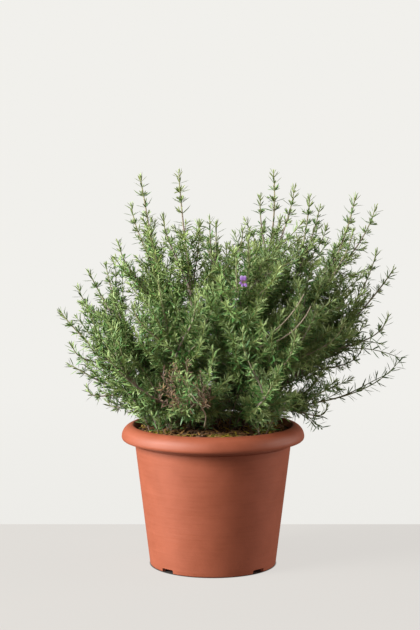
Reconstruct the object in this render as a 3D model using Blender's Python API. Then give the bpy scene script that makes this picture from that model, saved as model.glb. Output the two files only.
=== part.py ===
"""Potted coastal rosemary: a rolled-rim nursery pot, potting mix with moss and bark on it, three woody
stocks, the main stems that fork from them, the leafy plume round each stem, and one small flower.

Metres, +Z up. The origin is on the floor, on the pot's axis. -Y is the front."""

import math

import bmesh
import bpy
from mathutils import Matrix, Vector

GAP = 0.0003  # kept between pieces that touch

# Pot
POT_HEIGHT = 0.170
RIM_RADIUS = 0.110
RIM_INNER_RADIUS = 0.0955
LIP_HEIGHT = 0.0178  # from the lip's lower edge to the top of the rim
RIM_EDGE_ROUND = 0.0012
RIM_ROLL_WIDTH = 0.0135
RIM_ROLL_DROP = 0.0145
WALL = 0.0022
WALL_FOOT_RADIUS = 0.0762
WALL_TOP_RADIUS = 0.0943
WALL_TOP_HEIGHT = 0.150
RIM_SEAM_HEIGHT = 0.158  # the rim is a ring of its own above this
FOOT_CHAMFER = 0.0016
FOOT_RING_INNER_RADIUS = 0.0715
CHANNEL_RADIUS = 0.0490  # the drainage channel lies between this and the foot ring
CHANNEL_RISE = 0.0050
CHANNEL_SLOPE = 0.0035  # how far the channel's inner side leans outwards
CHANNEL_LEAN = 0.6  # how much nearer the axis that side stands, for each part that it is higher
DRAIN_HOLE_RADIUS = 0.0045
DRAIN_HOLES = 8
NOTCH_WIDTH = 0.018
NOTCH_HEIGHT = 0.0050
NOTCH_ANGLES = (45, 135, 225, 315)
NOTCH_CUT_DEPTH = 0.020
NOTCH_CUT_RADIUS = 0.0757
POT_SEGMENTS = 40
ROLL_STEPS = 5

# Potting mix and what lies on it
MIX_EDGE_HEIGHT = 0.1600
MIX_CROWN_HEIGHT = 0.1645
MIX_SEGMENTS = 28
SOCKET_DEPTH = 0.045

# Woody parts
STOCK_SIDES = 8
STEM_BEVEL_RESOLUTION = 1  # six sides
STEM_POINTS = 9
STEM_TIP_RADIUS = 0.0008
STEM_END_INSET = 0.010  # a stem ends this far inside the tip of its plume

# Leafy plumes
PLUME_SIDES = 8
PLUME_MAX_RADIUS = 0.030
PLUME_CLEARANCE = 0.0016  # from the middle surface between two stems
PLUME_TIP_RADIUS = 0.0025
BORE_END_ROOM = 0.002
RIM_CLEARANCE = 0.0030

# Each stock: where it stands, the height and lean of its top, and its radius at the soil
STOCKS = {
    "stock_left": {"foot": (-0.026, -0.018), "top": (-0.030, -0.020, 0.190), "radius": 0.0062},
    "stock_middle": {"foot": (0.004, 0.022), "top": (0.002, 0.026, 0.196), "radius": 0.0066},
    "stock_right": {"foot": (0.032, -0.014), "top": (0.036, -0.016, 0.188), "radius": 0.0058},
}

# Each main stem: its stock, the height up the stock where it forks (0 to 1), the way it sets off
# (azimuth and elevation in degrees), its tip, and the way it points there.
STEMS = [
    ("stock_left", 0.96, 120, 66, (-0.087, 0.022, 0.464), (165, 80)),
    ("stock_left", 1.00, 20, 80, (-0.040, -0.030, 0.470), (150, 86)),
    ("stock_left", 0.80, 165, 50, (-0.150, 0.030, 0.350), (165, 62)),
    ("stock_left", 0.66, 195, 40, (-0.180, -0.020, 0.306), (180, 52)),
    ("stock_left", 0.50, 178, 22, (-0.172, 0.010, 0.240), (178, 30)),
    ("stock_left", 0.74, 258, 56, (-0.062, -0.115, 0.352), (245, 72)),
    ("stock_left", 0.56, 228, 36, (-0.120, -0.098, 0.262), (222, 50)),
    ("stock_left", 0.40, 276, 30, (-0.030, -0.148, 0.246), (262, 44)),
    ("stock_middle", 1.00, 90, 80, (0.004, 0.040, 0.408), (80, 86)),
    ("stock_middle", 0.84, 138, 58, (-0.078, 0.105, 0.398), (130, 76)),
    ("stock_middle", 0.74, 90, 50, (0.006, 0.150, 0.362), (90, 68)),
    ("stock_middle", 0.86, 42, 58, (0.084, 0.108, 0.412), (55, 76)),
    ("stock_middle", 0.58, 152, 32, (-0.128, 0.100, 0.282), (142, 48)),
    ("stock_middle", 0.60, 30, 34, (0.146, 0.100, 0.306), (35, 56)),
    ("stock_middle", 0.44, 112, 26, (-0.052, 0.156, 0.252), (108, 42)),
    ("stock_middle", 0.46, 66, 28, (0.070, 0.156, 0.240), (66, 40)),
    ("stock_right", 0.98, 90, 76, (0.072, 0.004, 0.470), (150, 84)),
    ("stock_right", 0.84, 40, 64, (0.118, 0.050, 0.440), (60, 80)),
    ("stock_right", 0.90, 350, 66, (0.168, -0.012, 0.442), (20, 78)),
    ("stock_right", 0.66, 12, 42, (0.216, 0.012, 0.354), (0, 56)),
    ("stock_right", 0.44, 352, 26, (0.220, -0.016, 0.246), (10, 50)),
    ("stock_right", 0.76, 268, 64, (0.040, -0.090, 0.396), (270, 80)),
    ("stock_right", 0.62, 300, 50, (0.118, -0.100, 0.318), (310, 64)),
    ("stock_right", 0.42, 286, 32, (0.066, -0.146, 0.238), (290, 42)),
]
STEM_BASE_RADIUS = 0.0019

# Moss cushions: centre, half width, half depth and thickness
CUSHIONS = {
    "moss_cushion_left": ((-0.058, -0.036), 0.017, 0.012, 0.0040),
    "moss_cushion_front": ((0.006, -0.064), 0.021, 0.010, 0.0035),
    "moss_cushion_right": ((0.058, -0.026), 0.014, 0.018, 0.0045),
}
CUSHION_SIDES = 12

# Flower
FLOWER_STEM = 21  # the stem in STEMS that bears it
FLOWER_ALONG = 0.76
FLOWER_FACING = (262, 12)
FLOWER_RADIUS = 0.0066
PETALS = 5


def clear_scene():
    for thing in list(bpy.data.objects):
        bpy.data.objects.remove(thing, do_unlink=True)


def material(name, colour, roughness):
    """A Principled BSDF material with a plain colour."""
    made = bpy.data.materials.new(name)
    made.use_nodes = True
    shader = made.node_tree.nodes["Principled BSDF"]
    shader.inputs["Base Color"].default_value = (*colour, 1.0)
    shader.inputs["Roughness"].default_value = roughness
    shader.inputs["Metallic"].default_value = 0.0
    return made


def place(name, data, finish):
    """A new object with this name, data and material."""
    made = bpy.data.objects.new(name, data)
    data.materials.append(finish)
    bpy.context.scene.collection.objects.link(made)
    return made


def mesh_from(name, shape, smooth_angle=40):
    """A mesh from a bmesh, its faces outwards and its round stretches smooth."""
    bmesh.ops.recalc_face_normals(shape, faces=shape.faces)
    data = bpy.data.meshes.new(name)
    shape.to_mesh(data)
    shape.free()
    data.shade_smooth()
    data.set_sharp_from_angle(angle=math.radians(smooth_angle))
    return data


def turned(name, profile, segments, finish):
    """A solid turned about Z from an outline that starts and ends on the axis, or ends where it starts."""
    shape = bmesh.new()
    corners = [shape.verts.new((radius, 0, height)) for radius, height in profile]
    edges = [shape.edges.new(pair) for pair in zip(corners, corners[1:])]
    bmesh.ops.spin(
        shape,
        geom=corners + edges,
        cent=(0, 0, 0),
        axis=(0, 0, 1),
        angle=math.tau,
        steps=segments,
        use_merge=True,
    )
    bmesh.ops.remove_doubles(shape, verts=shape.verts, dist=1e-6)
    return place(name, mesh_from(name, shape), finish)


def bridged(rings, shape):
    """Quads between each ring of vertices and the next."""
    for lower, upper in zip(rings, rings[1:]):
        for i in range(len(lower)):
            j = (i + 1) % len(lower)
            shape.faces.new((lower[i], lower[j], upper[j], upper[i]))


def cut(target, cutter):
    """Takes the cutter out of the target, which keeps the Boolean as a modifier."""
    cutter.hide_render = True
    cutter.display_type = "WIRE"
    boolean = target.modifiers.new(cutter.name, "BOOLEAN")
    boolean.operation = "DIFFERENCE"
    boolean.solver = "EXACT"
    boolean.object = cutter


def wall_radius(height):
    """The pot wall's outer radius at a height."""
    share = (height - FOOT_CHAMFER) / (WALL_TOP_HEIGHT - FOOT_CHAMFER)
    return WALL_FOOT_RADIUS + (WALL_TOP_RADIUS - WALL_FOOT_RADIUS) * share


def roll(width, drop, first, last):
    """Points round the rim's rolled top, from one angle to another, in degrees from level."""
    centre = (RIM_RADIUS - RIM_ROLL_WIDTH, POT_HEIGHT - RIM_ROLL_DROP)
    angles = [math.radians(first + (last - first) * i / ROLL_STEPS) for i in range(ROLL_STEPS + 1)]
    return [(centre[0] + width * math.cos(a), centre[1] + drop * math.sin(a)) for a in angles]


def channel_profile(lift):
    """The floor's outline from the axis to the foot ring, with the drainage channel standing higher."""
    shift = lift * CHANNEL_LEAN
    return [
        (0, lift),
        (CHANNEL_RADIUS - shift, lift),
        (CHANNEL_RADIUS + CHANNEL_SLOPE - shift, CHANNEL_RISE + lift),
    ]


def make_rim(finish):
    """The rolled rim: a hollow ring that curls outwards and down, on top of the wall."""
    lip_bottom = POT_HEIGHT - LIP_HEIGHT
    seam = RIM_SEAM_HEIGHT + GAP
    foot = [(wall_radius(seam) - WALL, seam), (wall_radius(seam), seam)]
    underside = roll(RIM_ROLL_WIDTH - WALL, RIM_ROLL_DROP - WALL, 82, 0)
    lip = [(RIM_RADIUS - WALL, lip_bottom), (RIM_RADIUS, lip_bottom)]
    outside = roll(RIM_ROLL_WIDTH, RIM_ROLL_DROP, 0, 90)
    inner_edge = [(RIM_INNER_RADIUS, POT_HEIGHT - RIM_EDGE_ROUND)]
    outline = foot + underside + lip + outside + inner_edge + foot[:1]
    return turned("pot_rim", outline, POT_SEGMENTS, finish)


def make_pot(finish):
    """The pot's wall and floor, with notches in its foot and holes in its drainage channel."""
    floor_top = CHANNEL_RISE + WALL
    underside = channel_profile(0) + [
        (FOOT_RING_INNER_RADIUS - 0.0005, CHANNEL_RISE),
        (FOOT_RING_INNER_RADIUS, 0),
        (WALL_FOOT_RADIUS - FOOT_CHAMFER * 0.6, 0),
        (WALL_FOOT_RADIUS, FOOT_CHAMFER),
    ]
    heights = (0.020, 0.075, 0.120, RIM_SEAM_HEIGHT)
    wall_outside = [(wall_radius(h), h) for h in heights]
    inside = [(wall_radius(h) - WALL, h) for h in reversed(heights)]
    inside += [
        (wall_radius(floor_top + 0.003) - WALL, floor_top + 0.003),
        (wall_radius(floor_top) - WALL - 0.003, floor_top),
    ]
    floor = list(reversed(channel_profile(WALL)))
    outline = underside + wall_outside + inside + floor
    pot = turned("pot", outline, POT_SEGMENTS, finish)

    for number, angle in enumerate(NOTCH_ANGLES, 1):
        shape = bmesh.new()
        bmesh.ops.create_cube(shape, size=1.0)
        bmesh.ops.scale(shape, vec=(NOTCH_CUT_DEPTH, NOTCH_WIDTH, NOTCH_HEIGHT * 2), verts=shape.verts)
        bmesh.ops.translate(shape, vec=(NOTCH_CUT_RADIUS, 0, 0), verts=shape.verts)
        bmesh.ops.rotate(
            shape, cent=(0, 0, 0), matrix=Matrix.Rotation(math.radians(angle), 3, "Z"), verts=shape.verts
        )
        name = f"notch_cutter_{number}"
        cut(pot, place(name, mesh_from(name, shape), finish))

    hole_circle = (CHANNEL_RADIUS + CHANNEL_SLOPE + FOOT_RING_INNER_RADIUS) / 2
    for number in range(DRAIN_HOLES):
        angle = math.tau * number / DRAIN_HOLES
        shape = bmesh.new()
        bmesh.ops.create_cone(
            shape,
            cap_ends=True,
            segments=12,
            radius1=DRAIN_HOLE_RADIUS,
            radius2=DRAIN_HOLE_RADIUS,
            depth=0.010,
            matrix=Matrix.Translation(
                (hole_circle * math.cos(angle), hole_circle * math.sin(angle), CHANNEL_RISE + WALL / 2)
            ),
        )
        name = f"drain_cutter_{number + 1}"
        cut(pot, place(name, mesh_from(name, shape), finish))
    return pot


def mix_edge_radius():
    """The pot's inner radius at the edge of the potting mix."""
    return wall_radius(MIX_EDGE_HEIGHT) - WALL


def mix_height(radius):
    """The height of the potting mix's domed top at a distance from the axis."""
    edge = mix_edge_radius()
    return MIX_CROWN_HEIGHT - (MIX_CROWN_HEIGHT - MIX_EDGE_HEIGHT) * (radius / edge) ** 2


def stock_points(stock):
    """The stock's axis, from its rooting end in the mix to its top, as (point, radius)."""
    foot = Vector((*stock["foot"], mix_height(Vector(stock["foot"]).length)))
    top = Vector(stock["top"])
    radius = stock["radius"]
    return [
        (foot - Vector((0, 0, SOCKET_DEPTH)), radius * 0.55),
        (foot - Vector((0, 0, SOCKET_DEPTH * 0.4)), radius * 0.95),
        (foot + Vector((0, 0, -0.002)), radius * 1.10),
        (foot.lerp(top, 0.25), radius * 0.92),
        (foot.lerp(top, 0.60), radius * 0.86),
        (foot.lerp(top, 0.88), radius * 0.84),
        (top, radius * 0.55),
    ]


def make_stock(name, stock, finish, grown=0.0, extended=0.0):
    """A woody stock as a stack of rings; grown and extended turn it into the cutter of its socket."""
    shape = bmesh.new()
    rings = []
    points = stock_points(stock)
    for number, (point, radius) in enumerate(points):
        shift = Vector((0, 0, -grown if number == 0 else 0))
        ring = []
        for side in range(STOCK_SIDES):
            angle = math.tau * side / STOCK_SIDES
            wave = 1 + 0.06 * math.sin(3 * angle + number)
            reach = radius * wave + grown
            out = Vector((math.cos(angle), math.sin(angle), 0))
            ring.append(shape.verts.new(point + shift + out * reach))
        rings.append(ring)
    if extended:
        for corner in rings[-1]:
            corner.co.z += extended
    bridged(rings, shape)
    shape.faces.new(rings[0][::-1])
    shape.faces.new(rings[-1])
    return place(name, mesh_from(name, shape), finish)


def make_mix(finish):
    """The plug of potting mix, filling the pot, with a socket for each stock."""
    edge_radius = mix_edge_radius() - GAP
    floor_top = CHANNEL_RISE + WALL + GAP
    bottom = [(r - GAP, h) for r, h in channel_profile(WALL + GAP)]
    bottom[0] = (0, WALL + GAP)
    side = [
        (wall_radius(floor_top) - WALL - 0.0034, floor_top),
        (wall_radius(floor_top + 0.003) - WALL - 0.0005, floor_top + 0.003),
    ]
    side += [(wall_radius(h) - WALL - GAP, h) for h in (0.020, 0.075, 0.120)]
    top_radii = [edge_radius * share for share in (1.0, 0.85, 0.65, 0.4, 0.2, 0)]
    top = [(radius, mix_height(radius)) for radius in top_radii]
    mix = turned("potting_mix", bottom + side + top, MIX_SEGMENTS, finish)
    for name, stock in STOCKS.items():
        cut(mix, make_stock(f"socket_cutter_{name}", stock, finish, grown=GAP, extended=0.02))
    return mix


def direction(azimuth, elevation):
    azimuth, elevation = math.radians(azimuth), math.radians(elevation)
    level = math.cos(elevation)
    return Vector((level * math.cos(azimuth), level * math.sin(azimuth), math.sin(elevation)))


def stem_start(stock, share, azimuth):
    """The middle of a stem's foot, just off the side of its stock."""
    foot = Vector((*stock["foot"], mix_height(Vector(stock["foot"]).length)))
    top = Vector(stock["top"])
    reach = stock["radius"] + STEM_BASE_RADIUS + GAP
    if share > 0.99:
        return top + Vector((0, 0, STEM_BASE_RADIUS + GAP))
    return foot.lerp(top, share) + direction(azimuth, 0) * reach


def stem_curve(stem, count):
    """Points along a stem, from its foot to its tip, on one smooth cubic curve."""
    stock, share, azimuth, elevation, tip, (tip_azimuth, tip_elevation) = stem
    start = stem_start(STOCKS[stock], share, azimuth)
    tip = Vector(tip)
    reach = (tip - start).length * 0.36
    first = start + direction(azimuth, elevation) * reach
    last = tip - direction(tip_azimuth, tip_elevation) * reach
    points = []
    for number in range(count):
        t = number / (count - 1)
        points.append(
            start * (1 - t) ** 3 + first * 3 * t * (1 - t) ** 2 + last * 3 * t * t * (1 - t) + tip * t**3
        )
    return points


def stem_radius(share):
    """A stem's radius at a share of its length."""
    return STEM_BASE_RADIUS + (STEM_TIP_RADIUS - STEM_BASE_RADIUS) * share


def make_stem(name, stem, finish):
    """A woody stem: a tapering tube that stops a little short of the tip of its plume."""
    points = stem_curve(stem, STEM_POINTS)
    points[-1] = points[-1] - (points[-1] - points[-2]).normalized() * STEM_END_INSET
    data = bpy.data.curves.new(name, "CURVE")
    data.dimensions = "3D"
    data.bevel_depth = 1.0
    data.bevel_resolution = STEM_BEVEL_RESOLUTION
    data.use_fill_caps = True
    line = data.splines.new("POLY")
    line.points.add(len(points) - 1)
    for number, (corner, point) in enumerate(zip(line.points, points)):
        corner.co = (*point, 1.0)
        corner.radius = stem_radius(number / (len(points) - 1))
    return place(name, data, finish)


def nearest(point, curve):
    """The distance from a point to a curve given as points."""
    best = math.inf
    for start, end in zip(curve, curve[1:]):
        run = end - start
        share = max(0.0, min(1.0, (point - start).dot(run) / run.length_squared))
        best = min(best, (point - start - run * share).length)
    return best


def plume_radius(point, own, curves, along):
    """How wide a plume may be at a point: half way to the nearest other stem, clear of the pot."""
    room = min(nearest(point, curve) for number, curve in enumerate(curves) if number != own)
    above_rim = point.z - POT_HEIGHT - RIM_CLEARANCE
    swell = math.sin(math.pi * min(1.0, 0.12 + 0.80 * along)) ** 0.6
    return max(0.004, min(room / 2 - PLUME_CLEARANCE, above_rim, PLUME_MAX_RADIUS * swell))


def ring_round(shape, point, ahead, beside, radius):
    """A ring of vertices round a point, square to the way ahead, its first vertex towards beside."""
    ahead = ahead.normalized()
    across = (beside - ahead * beside.dot(ahead)).normalized()
    up = ahead.cross(across)
    turns = [math.tau * side / PLUME_SIDES for side in range(PLUME_SIDES)]
    return [shape.verts.new(point + (across * math.cos(a) + up * math.sin(a)) * radius) for a in turns]


def make_plume(name, own, curves, finish):
    """The leafy mass round the upper part of a stem, with a bore that the stem runs up."""
    curve = curves[own]
    last = len(curve) - 1
    beside = Vector((0, 0, 1)).cross(curve[-1] - curve[0])
    first = next(i for i in range(last) if plume_can_start(curve[i], own, curves))
    shape = bmesh.new()
    bore, outside = [], []
    for station in range(first, last + 1):
        point = curve[station]
        ahead = curve[min(station + 1, last)] - curve[station - 1]
        along = (station - first) / (last - first)
        radius = PLUME_TIP_RADIUS if station == last else plume_radius(point, own, curves, along)
        outside.append(ring_round(shape, point, ahead, beside, radius))
        if station == last:
            point = point - (curve[-1] - curve[-2]).normalized() * (STEM_END_INSET - BORE_END_ROOM)
        bore_radius = stem_radius(station / last) * 1.1 + 2 * GAP
        bore.append(ring_round(shape, point, ahead, beside, bore_radius))
    bridged(bore[::-1] + outside, shape)
    shape.faces.new(bore[-1])
    shape.faces.new(outside[-1])
    return place(name, mesh_from(name, shape), finish)


def plume_can_start(point, own, curves):
    """Whether there is room for leaves round a stem here."""
    room = min(nearest(point, curve) for number, curve in enumerate(curves) if number != own)
    return room / 2 - PLUME_CLEARANCE > 0.0055 and point.z - POT_HEIGHT - RIM_CLEARANCE > 0.0055


def make_cushion(name, centre, half_width, half_depth, thickness, finish):
    """A low cushion of moss that follows the top of the potting mix."""
    shape = bmesh.new()

    def corner(share, side, lift):
        angle = math.tau * side / CUSHION_SIDES
        ragged = share * (1 + 0.10 * math.sin(3 * angle + centre[0] * 90))
        x = centre[0] + half_width * ragged * math.cos(angle)
        y = centre[1] + half_depth * ragged * math.sin(angle)
        return shape.verts.new((x, y, mix_height(math.hypot(x, y)) + 2 * GAP + lift))

    def ring(share, lift):
        return [corner(share, side, lift) for side in range(CUSHION_SIDES)]

    rings = [ring(0.50, 0), ring(1.0, 0), ring(0.92, thickness * 0.5), ring(0.50, thickness)]
    bridged(rings, shape)
    bottom, top = shape.verts.new((0, 0, 0)), shape.verts.new((0, 0, 0))
    ground = mix_height(math.hypot(*centre)) + 2 * GAP
    bottom.co = (*centre, ground)
    top.co = (*centre, ground + thickness * 1.15)
    for i in range(CUSHION_SIDES):
        j = (i + 1) % CUSHION_SIDES
        shape.faces.new((rings[0][j], rings[0][i], bottom))
        shape.faces.new((rings[-1][i], rings[-1][j], top))
    return place(name, mesh_from(name, shape), finish)


def make_flower(curves, calyx_finish, corolla_finish):
    """The flower: a small green calyx against the foliage and a five-lobed corolla facing the front."""
    curve = curves[FLOWER_STEM]
    station = FLOWER_ALONG * (len(curve) - 1)
    low = int(station)
    point = curve[low].lerp(curve[low + 1], station - low)
    facing = direction(*FLOWER_FACING)
    seat = point + facing * (PLUME_MAX_RADIUS + 0.0010)
    turn = Matrix.Translation(seat) @ facing.to_track_quat("Z", "Y").to_matrix().to_4x4()

    calyx = bmesh.new()
    bmesh.ops.create_cone(calyx, cap_ends=True, segments=10, radius1=0.0011, radius2=0.0023, depth=0.005)
    bmesh.ops.translate(calyx, vec=(0, 0, 0.0025), verts=calyx.verts)
    bmesh.ops.transform(calyx, matrix=turn, verts=calyx.verts)
    place("flower_calyx", mesh_from("flower_calyx", calyx), calyx_finish)

    corolla = bmesh.new()
    steps = PETALS * 6
    rings = []
    for share, height in ((0.30, 0.0), (1.0, 0.0022), (1.0, 0.0030), (0.30, 0.0010)):
        ring = []
        for step in range(steps):
            angle = math.tau * step / steps
            lobe = 0.42 + 0.58 * abs(math.cos(PETALS * angle / 2)) if share == 1.0 else 0.36
            reach = FLOWER_RADIUS * lobe
            ring.append(
                corolla.verts.new((reach * math.cos(angle), reach * math.sin(angle), 0.0053 + height))
            )
        rings.append(ring)
    bridged(rings, corolla)
    corolla.faces.new(rings[0][::-1])
    corolla.faces.new(rings[-1])
    bmesh.ops.transform(corolla, matrix=turn, verts=corolla.verts)
    place("flower_corolla", mesh_from("flower_corolla", corolla), corolla_finish)


def main():
    clear_scene()
    terracotta = material("terracotta_plastic", (0.56, 0.17, 0.09), 0.55)
    earth = material("potting_mix", (0.07, 0.045, 0.03), 0.95)
    moss = material("moss", (0.16, 0.20, 0.03), 0.95)
    bark = material("bark", (0.20, 0.11, 0.07), 0.85)
    twig = material("twig", (0.34, 0.22, 0.16), 0.75)
    foliage = material("foliage", (0.13, 0.24, 0.06), 0.65)
    calyx = material("calyx", (0.22, 0.26, 0.10), 0.65)
    petal = material("petal", (0.42, 0.24, 0.66), 0.60)

    make_pot(terracotta)
    make_rim(terracotta)
    make_mix(earth)
    for name, (centre, half_width, half_depth, thickness) in CUSHIONS.items():
        make_cushion(name, centre, half_width, half_depth, thickness, moss)
    for name, stock in STOCKS.items():
        make_stock(name, stock, bark)
    curves = [stem_curve(stem, STEM_POINTS) for stem in STEMS]
    for number, stem in enumerate(STEMS):
        make_stem(f"stem_{number + 1:02d}", stem, twig)
        make_plume(f"leaf_plume_{number + 1:02d}", number, curves, foliage)
    make_flower(curves, calyx, petal)


main()
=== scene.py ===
"""Potted coastal rosemary: the finished plant and its pot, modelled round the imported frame.

Metres, +Z up, -Y to the front. Each operator makes one piece or one group of like pieces."""

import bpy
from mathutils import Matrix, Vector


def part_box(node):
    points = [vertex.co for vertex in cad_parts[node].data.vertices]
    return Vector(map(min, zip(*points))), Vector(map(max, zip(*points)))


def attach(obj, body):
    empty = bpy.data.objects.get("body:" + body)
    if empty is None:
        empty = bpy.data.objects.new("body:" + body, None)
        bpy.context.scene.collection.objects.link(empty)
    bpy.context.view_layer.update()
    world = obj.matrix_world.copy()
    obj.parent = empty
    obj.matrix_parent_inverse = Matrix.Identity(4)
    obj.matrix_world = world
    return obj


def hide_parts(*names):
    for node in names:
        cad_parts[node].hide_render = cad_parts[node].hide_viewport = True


bl_info = {
    "name": "Potted Coastal Rosemary",
    "version": (1, 0, 0),
    "blender": (4, 5, 0),
    "location": "3D View > Sidebar > Rosemary",
    "description": "Models a potted coastal rosemary, its pot and its potting mix round a fixed frame",
    "category": "Add Mesh",
}

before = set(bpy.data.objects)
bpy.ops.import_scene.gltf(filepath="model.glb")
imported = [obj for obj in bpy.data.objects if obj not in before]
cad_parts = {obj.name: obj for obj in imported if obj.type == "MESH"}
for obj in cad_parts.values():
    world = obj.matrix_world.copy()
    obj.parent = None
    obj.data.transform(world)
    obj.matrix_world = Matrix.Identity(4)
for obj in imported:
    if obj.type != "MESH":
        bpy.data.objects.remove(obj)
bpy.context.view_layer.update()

import bisect
import functools
import math
import random
from dataclasses import dataclass, field

import bpy
import numpy as np
from bpy.props import FloatProperty, FloatVectorProperty, IntProperty, PointerProperty
from mathutils import Vector
from mathutils.geometry import interpolate_bezier

RIM_LOW, RIM_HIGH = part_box("pot_rim")
_, MIX_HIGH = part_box("potting_mix")

# Pot
POT_HEIGHT = RIM_HIGH.z
RIM_RADIUS = RIM_HIGH.x
RIM_INNER_RADIUS = RIM_RADIUS - 0.0145
LIP_HEIGHT = RIM_HIGH.z - RIM_LOW.z
RIM_ROLL_WIDTH = 0.0135
RIM_ROLL_DROP = 0.0145
WALL = 0.0022
WALL_FOOT_RADIUS = 0.0762
WALL_TOP_RADIUS = 0.0943
WALL_TOP_HEIGHT = 0.150
LEDGE_HEIGHT = 0.1466  # a narrow ledge goes round the wall, just under the lip
LEDGE_DEPTH = 0.0008
FOOT_CHAMFER = 0.0016
FOOT_RING_INNER_RADIUS = 0.0715
CHANNEL_RADIUS = 0.0490
CHANNEL_RISE = 0.0050
CHANNEL_SLOPE = 0.0035
DRAIN_HOLE_RADIUS = 0.0045
DRAIN_HOLES = 8
NOTCH_WIDTH = 0.018
NOTCH_HEIGHT = 0.0050
NOTCH_DEPTH = 0.020
NOTCH_RADIUS = 0.0757  # how far the middle of a notch is from the axis
NOTCH_ANGLES = (45, 135, 225, 315)
POT_SEGMENTS = 160

# Potting mix
MIX_CROWN_HEIGHT = MIX_HIGH.z + 0.0010
MIX_EDGE_HEIGHT = MIX_HIGH.z - 0.0018
MIX_RADIUS = MIX_HIGH.x
MIX_GAP = 0.0003  # between the mix and the pot

# Woody stocks, as in the frame: where each stands, its top and its radius at the soil
STOCKS = {
    "stock_left": ((-0.026, -0.018), (-0.030, -0.020, 0.190), 0.0062),
    "stock_middle": ((0.004, 0.022), (0.002, 0.026, 0.196), 0.0066),
    "stock_right": ((0.032, -0.014), (0.036, -0.016, 0.188), 0.0058),
}
STEM_BASE_RADIUS = 0.0019

# Each main stem, as in the frame: its stock, the height up the stock where it forks (0 to 1), the way it
# sets off (azimuth and elevation in degrees), its tip, and the way it points there.
STEMS = [
    ("stock_left", 0.96, 120, 66, (-0.087, 0.022, 0.464), (165, 80)),
    ("stock_left", 1.00, 20, 80, (-0.040, -0.030, 0.470), (150, 86)),
    ("stock_left", 0.80, 165, 50, (-0.150, 0.030, 0.350), (165, 62)),
    ("stock_left", 0.66, 195, 40, (-0.180, -0.020, 0.306), (180, 52)),
    ("stock_left", 0.50, 178, 22, (-0.172, 0.010, 0.240), (178, 30)),
    ("stock_left", 0.74, 258, 56, (-0.062, -0.115, 0.352), (245, 72)),
    ("stock_left", 0.56, 228, 36, (-0.120, -0.098, 0.262), (222, 50)),
    ("stock_left", 0.40, 276, 30, (-0.030, -0.148, 0.246), (262, 44)),
    ("stock_middle", 1.00, 90, 80, (0.004, 0.040, 0.408), (80, 86)),
    ("stock_middle", 0.84, 138, 58, (-0.078, 0.105, 0.398), (130, 76)),
    ("stock_middle", 0.74, 90, 50, (0.006, 0.150, 0.362), (90, 68)),
    ("stock_middle", 0.86, 42, 58, (0.084, 0.108, 0.412), (55, 76)),
    ("stock_middle", 0.58, 152, 32, (-0.128, 0.100, 0.282), (142, 48)),
    ("stock_middle", 0.60, 30, 34, (0.146, 0.100, 0.306), (35, 56)),
    ("stock_middle", 0.44, 112, 26, (-0.052, 0.156, 0.252), (108, 42)),
    ("stock_middle", 0.46, 66, 28, (0.070, 0.156, 0.240), (66, 40)),
    ("stock_right", 0.98, 90, 76, (0.072, 0.004, 0.470), (150, 84)),
    ("stock_right", 0.84, 40, 64, (0.118, 0.050, 0.440), (60, 80)),
    ("stock_right", 0.90, 350, 66, (0.168, -0.012, 0.442), (20, 78)),
    ("stock_right", 0.66, 12, 42, (0.216, 0.012, 0.354), (0, 56)),
    ("stock_right", 0.44, 352, 26, (0.220, -0.016, 0.246), (10, 50)),
    ("stock_right", 0.76, 268, 64, (0.040, -0.090, 0.396), (270, 80)),
    ("stock_right", 0.62, 300, 50, (0.118, -0.100, 0.318), (310, 64)),
    ("stock_right", 0.42, 286, 32, (0.066, -0.146, 0.238), (290, 42)),
]

# Forks: long branches that leave a main stem part of the way up it, as (stem, share of its length, tip)
FORKS = [
    (0, 0.42, (-0.112, -0.010, 0.388)),
    (0, 0.55, (-0.099, 0.040, 0.430)),
    (1, 0.50, (-0.058, -0.052, 0.420)),
    (1, 0.45, (-0.016, -0.020, 0.411)),
    (2, 0.45, (-0.128, 0.004, 0.360)),
    (2, 0.55, (-0.160, -0.006, 0.334)),
    (3, 0.50, (-0.165, -0.045, 0.270)),
    (4, 0.50, (-0.150, -0.010, 0.214)),
    (4, 0.35, (-0.128, 0.020, 0.196)),
    (5, 0.50, (-0.090, -0.110, 0.322)),
    (5, 0.45, (-0.020, -0.130, 0.330)),
    (8, 0.50, (-0.004, 0.010, 0.414)),
    (8, 0.45, (0.036, 0.020, 0.402)),
    (8, 0.40, (0.016, -0.020, 0.384)),
    (11, 0.50, (0.046, 0.122, 0.396)),
    (13, 0.50, (0.160, 0.070, 0.340)),
    (16, 0.60, (0.056, -0.012, 0.442)),
    (16, 0.50, (0.096, -0.010, 0.452)),
    (17, 0.60, (0.128, 0.020, 0.428)),
    (18, 0.52, (0.194, 0.012, 0.428)),
    (18, 0.45, (0.164, -0.030, 0.402)),
    (19, 0.48, (0.198, 0.030, 0.374)),
    (19, 0.42, (0.208, -0.012, 0.300)),
    (19, 0.30, (0.180, 0.010, 0.262)),
    (20, 0.25, (0.136, -0.010, 0.190)),
    (21, 0.50, (0.026, -0.110, 0.372)),
    (21, 0.42, (0.006, -0.096, 0.350)),
    (22, 0.50, (0.150, -0.078, 0.300)),
    (22, 0.42, (0.092, -0.128, 0.292)),
]

# Trailing shoots with few leaves, as (stem, share of its length, tip, the way it points there)
TRAILERS = [
    (19, 0.38, (0.224, -0.004, 0.250), (350, -24)),
    (19, 0.46, (0.200, -0.010, 0.268), (340, -10)),
    (20, 0.55, (0.206, -0.020, 0.232), (350, 24)),
    (20, 0.30, (0.128, -0.030, 0.170), (320, -20)),
    (20, 0.24, (0.118, -0.046, 0.178), (310, -25)),
    (20, 0.20, (0.112, -0.020, 0.190), (330, 5)),
]

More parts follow.
